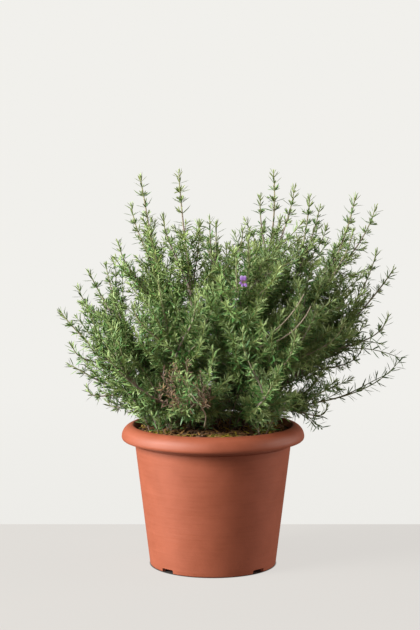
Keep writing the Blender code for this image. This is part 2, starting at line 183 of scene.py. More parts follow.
# Twigs that have lost their leaves, as (foot, way it sets off, tip, the way it points there)
BARE_TWIGS = [
    ((0.030, -0.070, 0.268), (330, 20), (0.102, -0.116, 0.336), (350, 62)),
    ((0.048, -0.080, 0.272), (320, 8), (0.110, -0.112, 0.322), (10, 66)),
    ((-0.010, -0.060, 0.176), (275, 35), (-0.025, -0.134, 0.226), (165, 50)),
    ((0.044, -0.020, 0.170), (340, 40), (0.094, -0.030, 0.182), (330, 5)),
]


# ---------------------------------------------------------------------------------------------------
# What a user may change


def colour_setting(name, description, default):
    return FloatVectorProperty(
        name=name, description=description, default=default, subtype="COLOR", size=3, min=0, max=1
    )


def length_setting(name, description, default, least, most):
    return FloatProperty(
        name=name, description=description, default=default, min=least, max=most, unit="LENGTH"
    )


def light_setting(name, description, default):
    return FloatProperty(name=name, description=description, default=default, min=0)


class RosemaryPotLook(bpy.types.PropertyGroup):
    colour: colour_setting("Pot colour", "Colour of the moulded plastic", (0.382, 0.093, 0.040))
    roughness: FloatProperty(
        name="Pot roughness", description="How matt the plastic is", default=0.56, min=0, max=1
    )


class RosemaryMixLook(bpy.types.PropertyGroup):
    colour: colour_setting("Mix colour", "Colour of the moist potting mix", (0.050, 0.030, 0.018))
    moss_colour: colour_setting("Moss colour", "Colour of the moss cushions", (0.290, 0.285, 0.030))
    crumbs: IntProperty(
        name="Crumbs", description="Crumbs of mix lying loose on top", default=2400, min=0, max=4000
    )
    litter: IntProperty(
        name="Fallen leaves", description="Dead leaves lying on the mix", default=900, min=0, max=2000
    )


class RosemaryWoodLook(bpy.types.PropertyGroup):
    bark_colour: colour_setting("Bark colour", "Colour of the oldest wood", (0.130, 0.070, 0.045))
    stem_colour: colour_setting("Stem colour", "Colour of second-year wood", (0.420, 0.345, 0.290))
    shoot_colour: colour_setting("Shoot colour", "Colour of this year's growth", (0.250, 0.300, 0.090))


class RosemaryLeafLook(bpy.types.PropertyGroup):
    length: length_setting("Leaf length", "Length of a full-grown leaf", 0.0132, 0.005, 0.03)
    width: length_setting("Leaf width", "Width of a full-grown leaf", 0.0019, 0.001, 0.006)
    old_colour: colour_setting("Old leaf colour", "Upper side of an old leaf", (0.070, 0.226, 0.050))
    young_colour: colour_setting("Young leaf colour", "Upper side of a new leaf", (0.400, 0.520, 0.200))
    under_colour: colour_setting("Underside colour", "The felt beneath a leaf", (0.330, 0.430, 0.245))


class RosemaryFlowerLook(bpy.types.PropertyGroup):
    petal_colour: colour_setting("Petal colour", "Colour of the flower", (0.400, 0.210, 0.660))
    petal_length: length_setting("Petal length", "Petal length from the throat", 0.0047, 0.002, 0.012)


class RosemaryStageLook(bpy.types.PropertyGroup):
    floor_colour: colour_setting("Floor colour", "Colour of the floor beneath", (0.768, 0.745, 0.712))
    wall_colour: colour_setting("Wall colour", "Colour behind the plant", (0.880, 0.871, 0.838))
    key_power: light_setting("Key light", "Power of the large soft light", 118.0)
    side_power: light_setting("Side light", "Power of the low soft light", 63.0)
    fill_power: light_setting("Fill light", "Power of the light opposite", 36.0)
    ambient: light_setting("Ambient light", "Light from all round", 0.16)


# ---------------------------------------------------------------------------------------------------
# Small tools


def start_piece():
    """Leaves nothing selected, so that an operator acts only on what comes next."""
    if bpy.context.object and bpy.context.object.mode != "OBJECT":
        bpy.ops.object.mode_set(mode="OBJECT")
    bpy.ops.object.select_all(action="DESELECT")


def edit_all():
    """Goes into edit mode with everything selected."""
    bpy.ops.object.mode_set(mode="EDIT")
    bpy.ops.mesh.select_all(action="SELECT")


def cut_rings(levels):
    """In edit mode, cuts a level ring of edges right round the piece at each of these heights."""
    for level in levels:
        bpy.ops.mesh.select_all(action="SELECT")
        bpy.ops.mesh.bisect(plane_co=(0, 0, level), plane_no=(0, 0, 1))


def select_where(thing, test):
    """In edit mode, selects the vertices whose place passes the test, and nothing else."""
    bpy.ops.mesh.select_all(action="DESELECT")
    bpy.ops.object.mode_set(mode="OBJECT")
    for vertex in thing.data.vertices:
        vertex.select = bool(test(thing.matrix_world @ vertex.co))
    bpy.ops.object.mode_set(mode="EDIT")
    bpy.ops.mesh.select_mode(type="VERT")


def settle(name, smooth_angle=40):
    """Names the active object, puts its place into its mesh and shades its round stretches smooth."""
    piece = bpy.context.object
    if piece.mode != "OBJECT":
        bpy.ops.object.mode_set(mode="OBJECT")
    bpy.ops.object.select_all(action="DESELECT")
    piece.select_set(True)
    bpy.context.view_layer.objects.active = piece
    bpy.ops.object.transform_apply(location=True, rotation=True, scale=True)
    piece.name = name
    piece.data.name = name
    bpy.ops.object.shade_smooth_by_angle(angle=math.radians(smooth_angle))
    return piece


def turn_outline(outline, segments):
    """Turns an outline of (radius, height) points about Z, as the active object in edit mode."""
    start_piece()
    radius, height = outline[0]
    bpy.ops.mesh.primitive_plane_add(size=0.01, location=(radius, 0, height))
    bpy.ops.object.mode_set(mode="EDIT")
    bpy.ops.mesh.merge(type="CENTER")
    for (radius, height), (next_radius, next_height) in zip(outline, outline[1:]):
        step = (next_radius - radius, 0, next_height - height)
        bpy.ops.mesh.extrude_vertices_move(TRANSFORM_OT_translate={"value": step})
    bpy.ops.mesh.select_all(action="SELECT")
    bpy.ops.mesh.spin(steps=segments, angle=math.tau, center=(0, 0, 0), axis=(0, 0, 1))
    bpy.ops.mesh.select_all(action="SELECT")
    bpy.ops.mesh.remove_doubles(threshold=1e-6)
    bpy.ops.mesh.normals_make_consistent(inside=False)


def apply_to(piece, modifier):
    """Applies a piece's modifier to its mesh."""
    start_piece()
    piece.select_set(True)
    bpy.context.view_layer.objects.active = piece
    bpy.ops.object.modifier_apply(modifier=modifier.name)


def cut_out(piece, cutter):
    """Takes the cutter out of the piece, and throws the cutter away."""
    boolean = piece.modifiers.new("cut", "BOOLEAN")
    boolean.operation = "DIFFERENCE"
    boolean.solver = "EXACT"
    boolean.object = cutter
    apply_to(piece, boolean)
    bpy.data.objects.remove(cutter, do_unlink=True)


def roughen(piece, size, strength, group=""):
    """Displaces a piece's vertices along their normals by a cloudy pattern."""
    clouds = bpy.data.textures.new(f"{piece.name}_clouds", "CLOUDS")
    clouds.noise_scale = size
    clouds.noise_depth = 3
    push = piece.modifiers.new("roughen", "DISPLACE")
    push.texture = clouds
    push.texture_coords = "LOCAL"
    push.strength = strength
    push.mid_level = 0.5
    push.vertex_group = group
    apply_to(piece, push)


def dress(piece, finish):
    piece.data.materials.clear()
    piece.data.materials.append(finish)


def seat(piece, finish, slot, *nodes):
    """Gives a piece its material, ties it to the frame's root body and hides the frame's pieces for its
    nodes; the slot is not used.
    """
    dress(piece, finish)
    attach(piece, "root")
    if nodes:
        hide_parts(*nodes)


def put_in_scene(name, data):
    """A new object in the scene, for a mesh, a light or a camera."""
    made = bpy.data.objects.new(name, data)
    bpy.context.scene.collection.objects.link(made)
    return made


def round_axis(radius, degrees, height):
    """A place at an angle round the pot's axis."""
    turn = math.radians(degrees)
    return (radius * math.cos(turn), radius * math.sin(turn), height)


def unit(vectors):
    """Each vector at length one."""
    return vectors / np.maximum(np.linalg.norm(vectors, axis=-1, keepdims=True), 1e-12)


def heading(azimuth, elevation):
    """The unit vector at an azimuth and elevation in degrees."""
    azimuth, elevation = math.radians(azimuth), math.radians(elevation)
    level = math.cos(elevation)
    return Vector((level * math.cos(azimuth), level * math.sin(azimuth), math.sin(elevation)))


def wall_radius(height):
    """The pot wall's outer radius at a height."""
    share = (height - FOOT_CHAMFER) / (WALL_TOP_HEIGHT - FOOT_CHAMFER)
    return WALL_FOOT_RADIUS + (WALL_TOP_RADIUS - WALL_FOOT_RADIUS) * share


def mix_height(radius):
    """The height of the potting mix's domed top at a distance from the axis."""
    return MIX_CROWN_HEIGHT - (MIX_CROWN_HEIGHT - MIX_EDGE_HEIGHT) * (radius / MIX_RADIUS) ** 2


# ---------------------------------------------------------------------------------------------------
# Materials


def new_finish(name, roughness):
    """A material, its node tree and its shader."""
    finish = bpy.data.materials.new(name)
    finish.use_nodes = True
    tree = finish.node_tree
    shader = tree.nodes["Principled BSDF"]
    shader.inputs["Roughness"].default_value = roughness
    return finish, tree, shader


def attribute_of(tree, name):
    """The number that a piece's own attribute holds."""
    node = tree.nodes.new("ShaderNodeAttribute")
    node.attribute_type = "GEOMETRY"
    node.attribute_name = name
    return node.outputs["Fac"]


def place_of(tree, scale=(1, 1, 1)):
    """Object coordinates, stretched along each axis."""
    coordinates = tree.nodes.new("ShaderNodeTexCoord")
    mapping = tree.nodes.new("ShaderNodeMapping")
    mapping.inputs["Scale"].default_value = scale
    tree.links.new(coordinates.outputs["Object"], mapping.inputs["Vector"])
    return mapping.outputs["Vector"]


def noise_of(tree, where, scale, detail, roughness):
    """A noise pattern from 0 to 1."""
    node = tree.nodes.new("ShaderNodeTexNoise")
    node.inputs["Scale"].default_value = scale
    node.inputs["Detail"].default_value = detail
    node.inputs["Roughness"].default_value = roughness
    tree.links.new(where, node.inputs["Vector"])
    return node.outputs["Fac"]


def graded(tree, source, low, high, to_low=0.0, to_high=1.0):
    """A number moved from one range to another, and kept inside it."""
    node = tree.nodes.new("ShaderNodeMapRange")
    node.clamp = True
    node.inputs["From Min"].default_value = low
    node.inputs["From Max"].default_value = high
    node.inputs["To Min"].default_value = to_low
    node.inputs["To Max"].default_value = to_high
    tree.links.new(source, node.inputs["Value"])
    return node.outputs["Result"]


def mixed(tree, share, first, second):
    """Two colours mixed; each is a colour or a node's output, and share is a number or an output."""
    node = tree.nodes.new("ShaderNodeMix")
    node.data_type = "RGBA"
    for socket, value in (("Factor_Float", share), ("A_Color", first), ("B_Color", second)):
        target = next(i for i in node.inputs if i.identifier == socket)
        if isinstance(value, bpy.types.NodeSocket):
            tree.links.new(value, target)
        elif socket == "Factor_Float":
            target.default_value = value
        else:
            target.default_value = (*value[:3], 1.0)
    return next(o for o in node.outputs if o.identifier == "Result_Color")


def reckoned(tree, operation, first, second=None):
    """A sum on one or two numbers, each a value or another node's output."""
    node = tree.nodes.new("ShaderNodeMath")
    node.operation = operation
    for target, value in zip(node.inputs, (first, second)):
        if isinstance(value, bpy.types.NodeSocket):
            tree.links.new(value, target)
        elif value is not None:
            target.default_value = value
    return node.outputs["Value"]


def surface(tree, shader, colour, roughness, height, strength, distance):
    """Gives the shader its colour and roughness, and a height pattern as fine relief."""
    tree.links.new(colour, shader.inputs["Base Color"])
    tree.links.new(roughness, shader.inputs["Roughness"])
    node = tree.nodes.new("ShaderNodeBump")
    node.inputs["Strength"].default_value = strength
    node.inputs["Distance"].default_value = distance
    tree.links.new(height, node.inputs["Height"])
    tree.links.new(node.outputs["Normal"], shader.inputs["Normal"])


def plastic_finish(look):
    """Moulded terracotta-coloured plastic with faint rings from the mould and a slight mottle."""
    finish, tree, shader = new_finish("terracotta_plastic", look.roughness)
    rings = noise_of(tree, place_of(tree, (14, 14, 330)), 1.0, 4.0, 0.6)
    cloud = noise_of(tree, place_of(tree), 26.0, 4.0, 0.6)
    speck = noise_of(tree, place_of(tree), 900.0, 2.0, 0.5)
    lighter = tuple(min(1.0, c * 1.10 + 0.012) for c in look.colour)
    darker = tuple(c * 0.88 for c in look.colour)
    tone = mixed(tree, graded(tree, cloud, 0.3, 0.7), darker, lighter)
    tone = mixed(tree, graded(tree, rings, 0.35, 0.65, 0.0, 0.5), tone, lighter)
    rough = graded(tree, rings, 0.3, 0.7, look.roughness - 0.07, look.roughness + 0.09)
    relief = reckoned(tree, "ADD", rings, reckoned(tree, "MULTIPLY", speck, 0.35))
    surface(tree, shader, tone, rough, relief, 0.55, 0.00035)
    shader.inputs["Specular IOR Level"].default_value = 0.62
    return finish


def mix_finish(look):
    """Moist potting mix: dark crumbs flecked with brown and a little green."""
    finish, tree, shader = new_finish("potting_mix", 0.95)
    where = place_of(tree)
    grain = noise_of(tree, where, 420.0, 5.0, 0.65)
    patch = noise_of(tree, where, 55.0, 3.0, 0.6)
    brown = (0.135, 0.070, 0.032)
    green = (0.100, 0.105, 0.016)
    tone = mixed(tree, graded(tree, grain, 0.45, 0.75), look.colour, brown)
    tone = mixed(tree, graded(tree, patch, 0.50, 0.62, 0.0, 0.7), tone, green)
    surface(tree, shader, tone, graded(tree, grain, 0.3, 0.8, 0.80, 1.0), grain, 0.9, 0.0008)
    return finish


def scrap_finish(name, dark, light, warm):
    """Bits of bark, crumbs or dead leaves: each copy has its own tone."""
    finish, tree, shader = new_finish(name, 0.9)
    tone = attribute_of(tree, "tone")
    grain = noise_of(tree, place_of(tree), 700.0, 3.0, 0.6)
    colour = mixed(tree, tone, dark, light)
    colour = mixed(tree, graded(tree, tone, 0.80, 0.92), colour, warm)
    colour = mixed(tree, graded(tree, grain, 0.35, 0.75, 0.0, 0.45), colour, dark)
    surface(tree, shader, colour, graded(tree, grain, 0.2, 0.8, 0.75, 0.95), grain, 0.6, 0.0003)
    return finish


def moss_finish(look):
    """Moss: yellow-green mottled with a copy about a third as bright, and tinted yellower where its tone
    is high.
    """
    finish, tree, shader = new_finish("moss", 0.95)
    tone = attribute_of(tree, "tone")
    cloud = noise_of(tree, place_of(tree), 160.0, 4.0, 0.6)
    deep = tuple(c * 0.35 for c in look.moss_colour)
    colour = mixed(tree, graded(tree, cloud, 0.35, 0.65), deep, look.moss_colour)
    colour = mixed(tree, graded(tree, tone, 0.55, 1.0, 0.0, 0.8), colour, (0.42, 0.33, 0.04))
    surface(tree, shader, colour, graded(tree, cloud, 0.3, 0.7, 0.85, 1.0), cloud, 0.7, 0.0006)
    return finish


def wood_finish(look):
    """Wood: fissured brown bark when old, smooth purplish tan, then green at the growing tips."""
    finish, tree, shader = new_finish("wood", 0.75)
    age = attribute_of(tree, "age")
    tone = attribute_of(tree, "tone")
    fissure = noise_of(tree, place_of(tree, (1, 1, 0.25)), 700.0, 4.0, 0.65)
    cloud = noise_of(tree, place_of(tree), 90.0, 3.0, 0.6)
    purple = (0.360, 0.275, 0.275)
    stem = mixed(tree, graded(tree, cloud, 0.35, 0.65), look.stem_colour, purple)
    stem = mixed(tree, graded(tree, tone, 0.6, 1.0, 0.0, 0.6), stem, (0.50, 0.42, 0.28))
    colour = mixed(tree, graded(tree, age, 0.05, 0.30), look.shoot_colour, stem)
    colour = mixed(tree, graded(tree, age, 0.55, 0.95), colour, look.bark_colour)
    flakes = reckoned(tree, "MULTIPLY", graded(tree, fissure, 0.45, 0.70), graded(tree, age, 0.4, 0.9))
    colour = mixed(tree, flakes, colour, (0.30, 0.22, 0.17))
    rough = graded(tree, age, 0.0, 1.0, 0.55, 0.9)
    surface(tree, shader, colour, rough, reckoned(tree, "MULTIPLY", fissure, age), 0.8, 0.0007)
    return finish


def leaf_finish(look):
    """Leaves: green and slightly glossy above with a pale midrib, felted and pale beneath."""
    finish, tree, shader = new_finish("leaf", 0.5)
    along = attribute_of(tree, "along")
    across = reckoned(tree, "ABSOLUTE", attribute_of(tree, "across"))
    under = attribute_of(tree, "under")
    tone = attribute_of(tree, "tone")
    youth = attribute_of(tree, "youth")
    felt = noise_of(tree, place_of(tree), 1500.0, 2.0, 0.5)
    upper = mixed(tree, youth, look.old_colour, look.young_colour)
    bluish = mixed(tree, graded(tree, tone, 0.0, 0.35, 0.55, 0.0), upper, (0.044, 0.142, 0.060))
    upper = mixed(tree, graded(tree, tone, 0.72, 1.0, 0.0, 0.55), bluish, (0.300, 0.310, 0.055))
    rib = graded(tree, across, 0.0, 0.22, 0.45, 0.0)
    upper = mixed(tree, rib, upper, (0.36, 0.42, 0.17))
    upper = mixed(tree, graded(tree, along, 0.86, 1.0, 0.0, 0.35), upper, (0.42, 0.36, 0.13))
    pale = mixed(tree, graded(tree, felt, 0.3, 0.7), look.under_colour, (0.24, 0.32, 0.18))
    pale = mixed(tree, graded(tree, youth, 0.2, 1.0, 0.0, 0.45), pale, look.young_colour)
    pale = mixed(tree, graded(tree, across, 0.0, 0.18, 0.4, 0.0), pale, (0.20, 0.26, 0.10))
    colour = mixed(tree, under, upper, pale)
    surface(tree, shader, colour, graded(tree, under, 0.0, 1.0, 0.46, 0.9), felt, 0.3, 0.0002)
    shader.inputs["Specular IOR Level"].default_value = 0.38
    return finish


def petal_finish(look):
    """Petals: a brownish throat, deep lilac beyond it with darker specks, and paler tips painted as a
    highlight.
    """
    finish, tree, shader = new_finish("petal", 0.6)
    reach = attribute_of(tree, "reach")
    speck = noise_of(tree, place_of(tree), 1700.0, 2.0, 0.5)
    throat = (0.30, 0.16, 0.13)
    deep = (0.26, 0.08, 0.40)
    colour = mixed(tree, graded(tree, reach, 0.10, 0.34), throat, look.petal_colour)
    # painted highlight: the petals' ends are mixed towards pale lilac
    colour = mixed(tree, graded(tree, reach, 0.62, 1.0, 0.0, 0.7), colour, (0.72, 0.60, 0.86))
    near_throat = graded(tree, reach, 0.25, 0.55, 1.0, 0.0)
    specks = reckoned(tree, "MULTIPLY", graded(tree, speck, 0.55, 0.62), near_throat)
    colour = mixed(tree, specks, colour, deep)
    surface(tree, shader, colour, graded(tree, speck, 0.3, 0.7, 0.5, 0.7), speck, 0.25, 0.0002)
    return finish


def calyx_finish():
    """The calyx: green-brown, mottled, and rougher where it is browner."""
    finish, tree, shader = new_finish("calyx", 0.75)
    cloud = noise_of(tree, place_of(tree), 600.0, 3.0, 0.6)
    colour = mixed(tree, graded(tree, cloud, 0.3, 0.7), (0.16, 0.20, 0.07), (0.27, 0.22, 0.13))
    surface(tree, shader, colour, graded(tree, cloud, 0.3, 0.7, 0.65, 0.85), cloud, 0.5, 0.0003)
    return finish


# ---------------------------------------------------------------------------------------------------
# Copies: one pattern modelled, then laid out many times in one mesh


@dataclass
class Pattern:
    """A small closed mesh: its points, its faces, and each face corner's place on the piece's map."""

    points: np.ndarray
    corners: np.ndarray
    sizes: np.ndarray
    places: np.ndarray
    marks: dict = field(default_factory=dict)  # numbers held by each point


def pattern_from(piece, places=None, **marks):
    """Reads a modelled object as a pattern and removes the object."""
    mesh = piece.data
    points = np.array([v.co for v in mesh.vertices])
    corners = np.array([i for face in mesh.polygons for i in face.vertices])
    sizes = np.array([len(face.vertices) for face in mesh.polygons])
    if places is None:
        flat = points[:, :2] - points[:, :2].min(0)
        places = (flat / max(flat.max(), 1e-9))[corners]
    bpy.data.objects.remove(piece, do_unlink=True)
    return Pattern(points, corners, sizes, places, marks)


def laid_out(name, pattern, spots, axes, scales, own_marks, bends=None):
    """A mesh object that holds one copy of the pattern at each spot.

    axes holds each copy's X, Y and Z directions, scales its size along them, own_marks numbers that a
    whole copy shares, and bends how far each copy's far end falls, as a share of its length."""
    count, size = len(spots), len(pattern.points)
    local = pattern.points[None] * scales[:, None, :]
    if bends is not None:
        run = pattern.points[None, :, 0]
        local[:, :, 2] -= bends[:, None] * run**2 * scales[:, 0, None]
    points = spots[:, None, :] + np.einsum("nvk,nkj->nvj", local, axes)
    mesh = bpy.data.meshes.new(name)
    mesh.vertices.add(count * size)
    mesh.loops.add(count * len(pattern.corners))
    mesh.polygons.add(count * len(pattern.sizes))
    mesh.vertices.foreach_set("co", points.astype(np.float32).ravel())
    corners = pattern.corners[None] + (np.arange(count) * size)[:, None]
    mesh.loops.foreach_set("vertex_index", corners.astype(np.int32).ravel())
    starts = np.concatenate([[0], np.cumsum(pattern.sizes)[:-1]])
    starts = starts[None] + (np.arange(count) * len(pattern.corners))[:, None]
    mesh.polygons.foreach_set("loop_start", starts.astype(np.int32).ravel())
    mesh.update(calc_edges=True)
    mesh.validate()
    side = math.ceil(math.sqrt(count))
    cells = np.stack([np.arange(count) % side, np.arange(count) // side], 1)
    unwrapped = (cells[:, None, :] + 0.06 + 0.88 * pattern.places[None]) / side
    layer = mesh.uv_layers.new(name="OFBake", do_init=False)
    layer.uv.foreach_set("vector", unwrapped.astype(np.float32).ravel())
    for mark, values in pattern.marks.items():
        write_mark(mesh, mark, np.tile(values, count))
    for mark, values in own_marks.items():
        write_mark(mesh, mark, np.repeat(values, size))
    mesh.shade_smooth()
    mesh.set_sharp_from_angle(angle=math.radians(55))
    return put_in_scene(name, mesh)


def write_mark(mesh, name, values):
    attribute = mesh.attributes.new(name, "FLOAT", "POINT")
    attribute.data.foreach_set("value", np.ascontiguousarray(values, np.float32))


def random_axes(randomly, count, flat=0.0):
    """Random right-handed axes; flat 1 keeps each copy's Z upright, 0 turns it any way."""
    up = unit(randomly.normal(size=(count, 3)) * (1 - flat) + np.array((0, 0, 1.0)) * flat * 2)
    ahead = unit(np.cross(up, randomly.normal(size=(count, 3))))
    return np.stack([ahead, np.cross(up, ahead), up], 1)


LEAF_STATIONS = {0.22: 0.86, 0.68: 0.92}  # how far along a leaf, and its width there


@functools.lru_cache(maxsize=None)
def leaf_pattern():
    """One narrow leaf, one unit long and one unit wide each way, thin, with a keel beneath."""
    start_piece()
    bpy.ops.mesh.primitive_cylinder_add(vertices=3, radius=1, depth=1, rotation=(0, math.pi / 2, 0))
    leaf = bpy.context.object
    bpy.ops.object.transform_apply(location=True, rotation=True, scale=True)
    edit_all()
    bpy.ops.transform.rotate(value=math.radians(90), orient_axis="X", center_override=(0, 0, 0))
    bpy.ops.transform.translate(value=(0.5, 0, -0.5))
    widen = 1 / math.cos(math.radians(30))
    bpy.ops.transform.resize(value=(1, widen, 1 / 1.5), center_override=(0, 0, 0))
    for station in LEAF_STATIONS:
        bpy.ops.mesh.select_all(action="SELECT")
        bpy.ops.mesh.bisect(plane_co=(station, 0, 0), plane_no=(1, 0, 0))
    for station, width in LEAF_STATIONS.items():
        select_where(leaf, lambda at: abs(at.x - station) < 1e-4)
        bpy.ops.transform.resize(value=(1, width, width), center_override=(station, 0, 0))
    for end in (0, 1):
        select_where(leaf, lambda at: abs(at.x - end) < 1e-4)
        bpy.ops.mesh.merge(type="CENTER")
    bpy.ops.mesh.select_all(action="SELECT")
    bpy.ops.mesh.normals_make_consistent(inside=False)
    bpy.ops.object.mode_set(mode="OBJECT")
    points = np.array([v.co for v in leaf.data.vertices])
    keel = points[:, 2] < -0.35
    places = []
    for face in leaf.data.polygons:
        beneath = 0.5 if keel[list(face.vertices)].any() else 0.0
        for i in face.vertices:
            places.append((points[i][0], beneath + 0.24 + 0.22 * points[i][1]))
    return pattern_from(
        leaf, np.array(places), along=points[:, 0], across=points[:, 1], under=keel.astype(float)
    )


# ---------------------------------------------------------------------------------------------------
# How the plant grows

CROWN_SEED = 20
ROUTE_STEP = 0.004
SPIKE_REACH = 0.070  # how far back from a leader's tip its leaves are at their longest
LEAFY_REACH = 0.150  # how far back from the tip a leader still holds its own leaves
LEADER_NODES = (0.0042, 0.0122)  # the gap between nodes at a leader's tip, and further back
SIDE_NODES = (0.0030, 0.0066)
LEAF_SPREADS = (24, 46, 56, 62, 67, 72)  # degrees from the shoot, from the tip back
LEAF_SIZES = (0.58, 0.84, 0.95, 1.0, 1.0)
SIDE_VIGOUR = 0.76  # how big the leaves of side shoots are beside those of leaders
YOUNG_REACH = 0.020  # how far back from a tip leaves are still pale
TUFT_LONGEST = 0.0085
LEAFY_FLOOR = 0.158  # how low foliage hangs outside the pot
FRONT_LIFT = 0.020  # how much higher it stays in front, where the mix shows
FRONT_GAP = 0.034  # half the width of the stretch where the mix shows
RIM_BAND = (0.087, 0.1125)  # distances from the axis within which the rim stands
RIM_ROOM = 0.0020
AIRY_ABOVE = 0.310  # from this height the crown thins out
AIRY_TOP = 0.440  # and here nothing more would be planned
BRANCHES = 470
BRANCH_LENGTH = 0.085
BASAL_SHOOTS = 96
DRY_SPRIGS = 17
TRAILING_STEMS = {20}
TRAILER_NODES = (0.0055, 0.0098)
DRY_NODES = (0.005, 0.010)
FORK_SHARES = (0.22, 0.32, 0.42, 0.52, 0.62, 0.72)  # how far up a stem its branches may fork off
TIP_REGION = ((-0.17, 0.19), (-0.155, 0.155), (0.19, 0.415))  # where branches may end, in x, y and z
SIDE_CHANCES = (0.85, 0.62)  # how often something grows on a node's first and second pair of sides
TUFT_CHANCE = 0.55
# The radius at the foot and at the tip of each kind of shoot
STEM_RADII = (0.0021, 0.0007)
TRAILING_STEM_RADII = (0.0015, 0.0004)
TRAILER_RADII = (0.0009, 0.0004)
FORK_RADII = (0.0012, 0.0006)
BRANCH_RADII = (0.0010, 0.0004)
BASAL_RADII = (0.00085, 0.0004)
SIDE_RADII = (0.0007, 0.00035)
TUFT_RADII = (0.00045, 0.0003)
DRY_RADII = (0.0009, 0.0004)
BARE_RADII = (0.0009, 0.0005)
THICK = 0.0009  # shoots thicker than this get rounder tubes
THICKEST = 0.0015  # and those thicker than this flare at the foot
LEAF_THICKNESS = 0.0004

# The crown's outline: height, and how far it reaches to the left and to the right of the axis there
CROWN_OUTLINE = [
    (0.165, 0.102, 0.120),
    (0.200, 0.128, 0.148),
    (0.240, 0.152, 0.176),
    (0.280, 0.170, 0.192),
    (0.320, 0.168, 0.194),
    (0.355, 0.140, 0.192),
    (0.385, 0.112, 0.184),
    (0.415, 0.096, 0.170),
]
CROWN_DEPTH = 0.84  # the crown's depth, as a share of its width


@dataclass
class Shoot:
    """A woody or green axis: its points, its radius and age at the foot and the tip, and its tone."""

    points: list
    radii: tuple
    ages: tuple
    tone: float


@dataclass
class Growth:
    """What grows together: its shoots, and a row of numbers for each whorl of leaves."""

    shoots: list = field(default_factory=list)
    whorls: list = field(default_factory=list)


class Route:
    """A line that can be asked for the place and the direction at a distance along it."""

    def __init__(self, points):
        self.points = points
        self.reached = [0.0]
        for here, there in zip(points, points[1:]):
            self.reached.append(self.reached[-1] + (there - here).length)
        self.length = self.reached[-1]

    def at(self, distance):
        step = min(max(bisect.bisect_right(self.reached, distance), 1), len(self.points) - 1)
        here, there = self.points[step - 1], self.points[step]
        share = (distance - self.reached[step - 1]) / (there - here).length
        return here.lerp(there, share), (there - here).normalized()


def curve_between(start, way, tip, tip_way, count):
    """Points on the cubic curve that leaves start along one way and reaches the tip along another."""
    reach = (tip - start).length * 0.36
    return list(interpolate_bezier(start, start + way * reach, tip - tip_way * reach, tip, count))


def bent_points(start, way, towards, length, bend):
    """Points of a shoot that sets off one way and bends towards another."""
    steps = max(3, round(length / ROUTE_STEP))
    points = [start]
    for _ in range(steps):
        way = (way + towards * (bend / steps)).normalized()
        points.append(points[-1] + way * (length / steps))
    return points


def stock_point(name, share):
    (x, y), top, _ = STOCKS[name]
    return Vector((x, y, mix_height(math.hypot(x, y)))).lerp(Vector(top), share)


def stem_points(stem):
    """A main stem's points, on the frame's own route, with its foot inside the stock."""
    stock, share, azimuth, elevation, tip, tip_way = stem
    radius = STOCKS[stock][2]
    inside = stock_point(stock, min(share, 0.95))
    if share > 0.99:
        start = stock_point(stock, 1.0) + Vector((0, 0, STEM_BASE_RADIUS))
    else:
        start = inside + heading(azimuth, 0) * (radius + STEM_BASE_RADIUS)
    way = heading(azimuth, elevation)
    return [inside, *curve_between(start, way, Vector(tip), heading(*tip_way), 40)]


def square_to(way, turn):
    """A unit vector square to a direction, turned about it by an angle."""
    guide = Vector((0.21, 0.13, 0.97)) if abs(way.z) < 0.9 else Vector((0.94, 0.31, 0.10))
    across = way.cross(guide).normalized()
    return across * math.cos(turn) + way.cross(across) * math.sin(turn)


def any_way(chance):
    return Vector((chance.gauss(0, 1), chance.gauss(0, 1), chance.gauss(0, 1))).normalized()


def lowest_allowed(points):
    """How low foliage may reach here: above the mix and the rim, and hanging a little outside."""
    reach = np.hypot(points[..., 0], points[..., 1])
    inside = mix_height(np.minimum(reach, MIX_RADIUS)) + 0.003
    lift = FRONT_LIFT * np.clip(-points[..., 1] / 0.07 - 0.3, 0, 1)
    lift = lift * np.clip(1.6 - np.abs(points[..., 0]) / FRONT_GAP, 0, 1)
    outside = np.where(reach < RIM_BAND[1], POT_HEIGHT + RIM_ROOM, LEAFY_FLOOR)
    return np.where(reach < RIM_BAND[0], inside, outside) + lift * (reach > 0.06)


def above_pot(points):
    places = np.array(points[2:])
    return bool((places[:, 2] > lowest_allowed(places)).all())


def in_crown(point):
    """Whether a place lies inside the crown's outline."""
    heights, left, right = zip(*CROWN_OUTLINE)
    if point.z > heights[-1]:
        return False
    least, most = -np.interp(point.z, heights, left), np.interp(point.z, heights, right)
    half = (most - least) / 2
    return math.hypot(point.x - (least + most) / 2, point.y / CROWN_DEPTH) < half


def local_tone(point, chance):
    """Foliage is yellower high up and bluer low down, on average."""
    return min(max(0.45 + (point.z - 0.30) * 2.2 + chance.gauss(0, 0.16), 0), 1)


def places_back(length, gaps, chance):
    """How far behind a shoot's tip each of its nodes lies: crowded at the tip, even further back."""
    gap, most = gaps
    back, places = 0.0, []
    while back < length:
        places.append(back)
        back += gap * chance.uniform(0.88, 1.12)
        gap = min(gap * 1.55, most)
    return places


def add_whorl(growth, at, way, turn, rank, vigour, youth, tone, leaves=4):
    spread = LEAF_SPREADS[min(rank, len(LEAF_SPREADS) - 1)]
    size = LEAF_SIZES[min(rank, len(LEAF_SIZES) - 1)] * vigour
    growth.whorls.append((*at, *way, turn, spread, size, youth, tone, leaves))


def side_reach(back, longest, chance):
    """How long a side shoot is: none at the tip, a tuft further back, a real shoot further still."""
    if back < 0.012:
        return 0.0
    tuft = 0.0030 + 0.12 * min(back - 0.012, 0.036)
    return min(tuft + 0.42 * max(back - 0.048, 0), longest) * chance.uniform(0.6, 1.2)


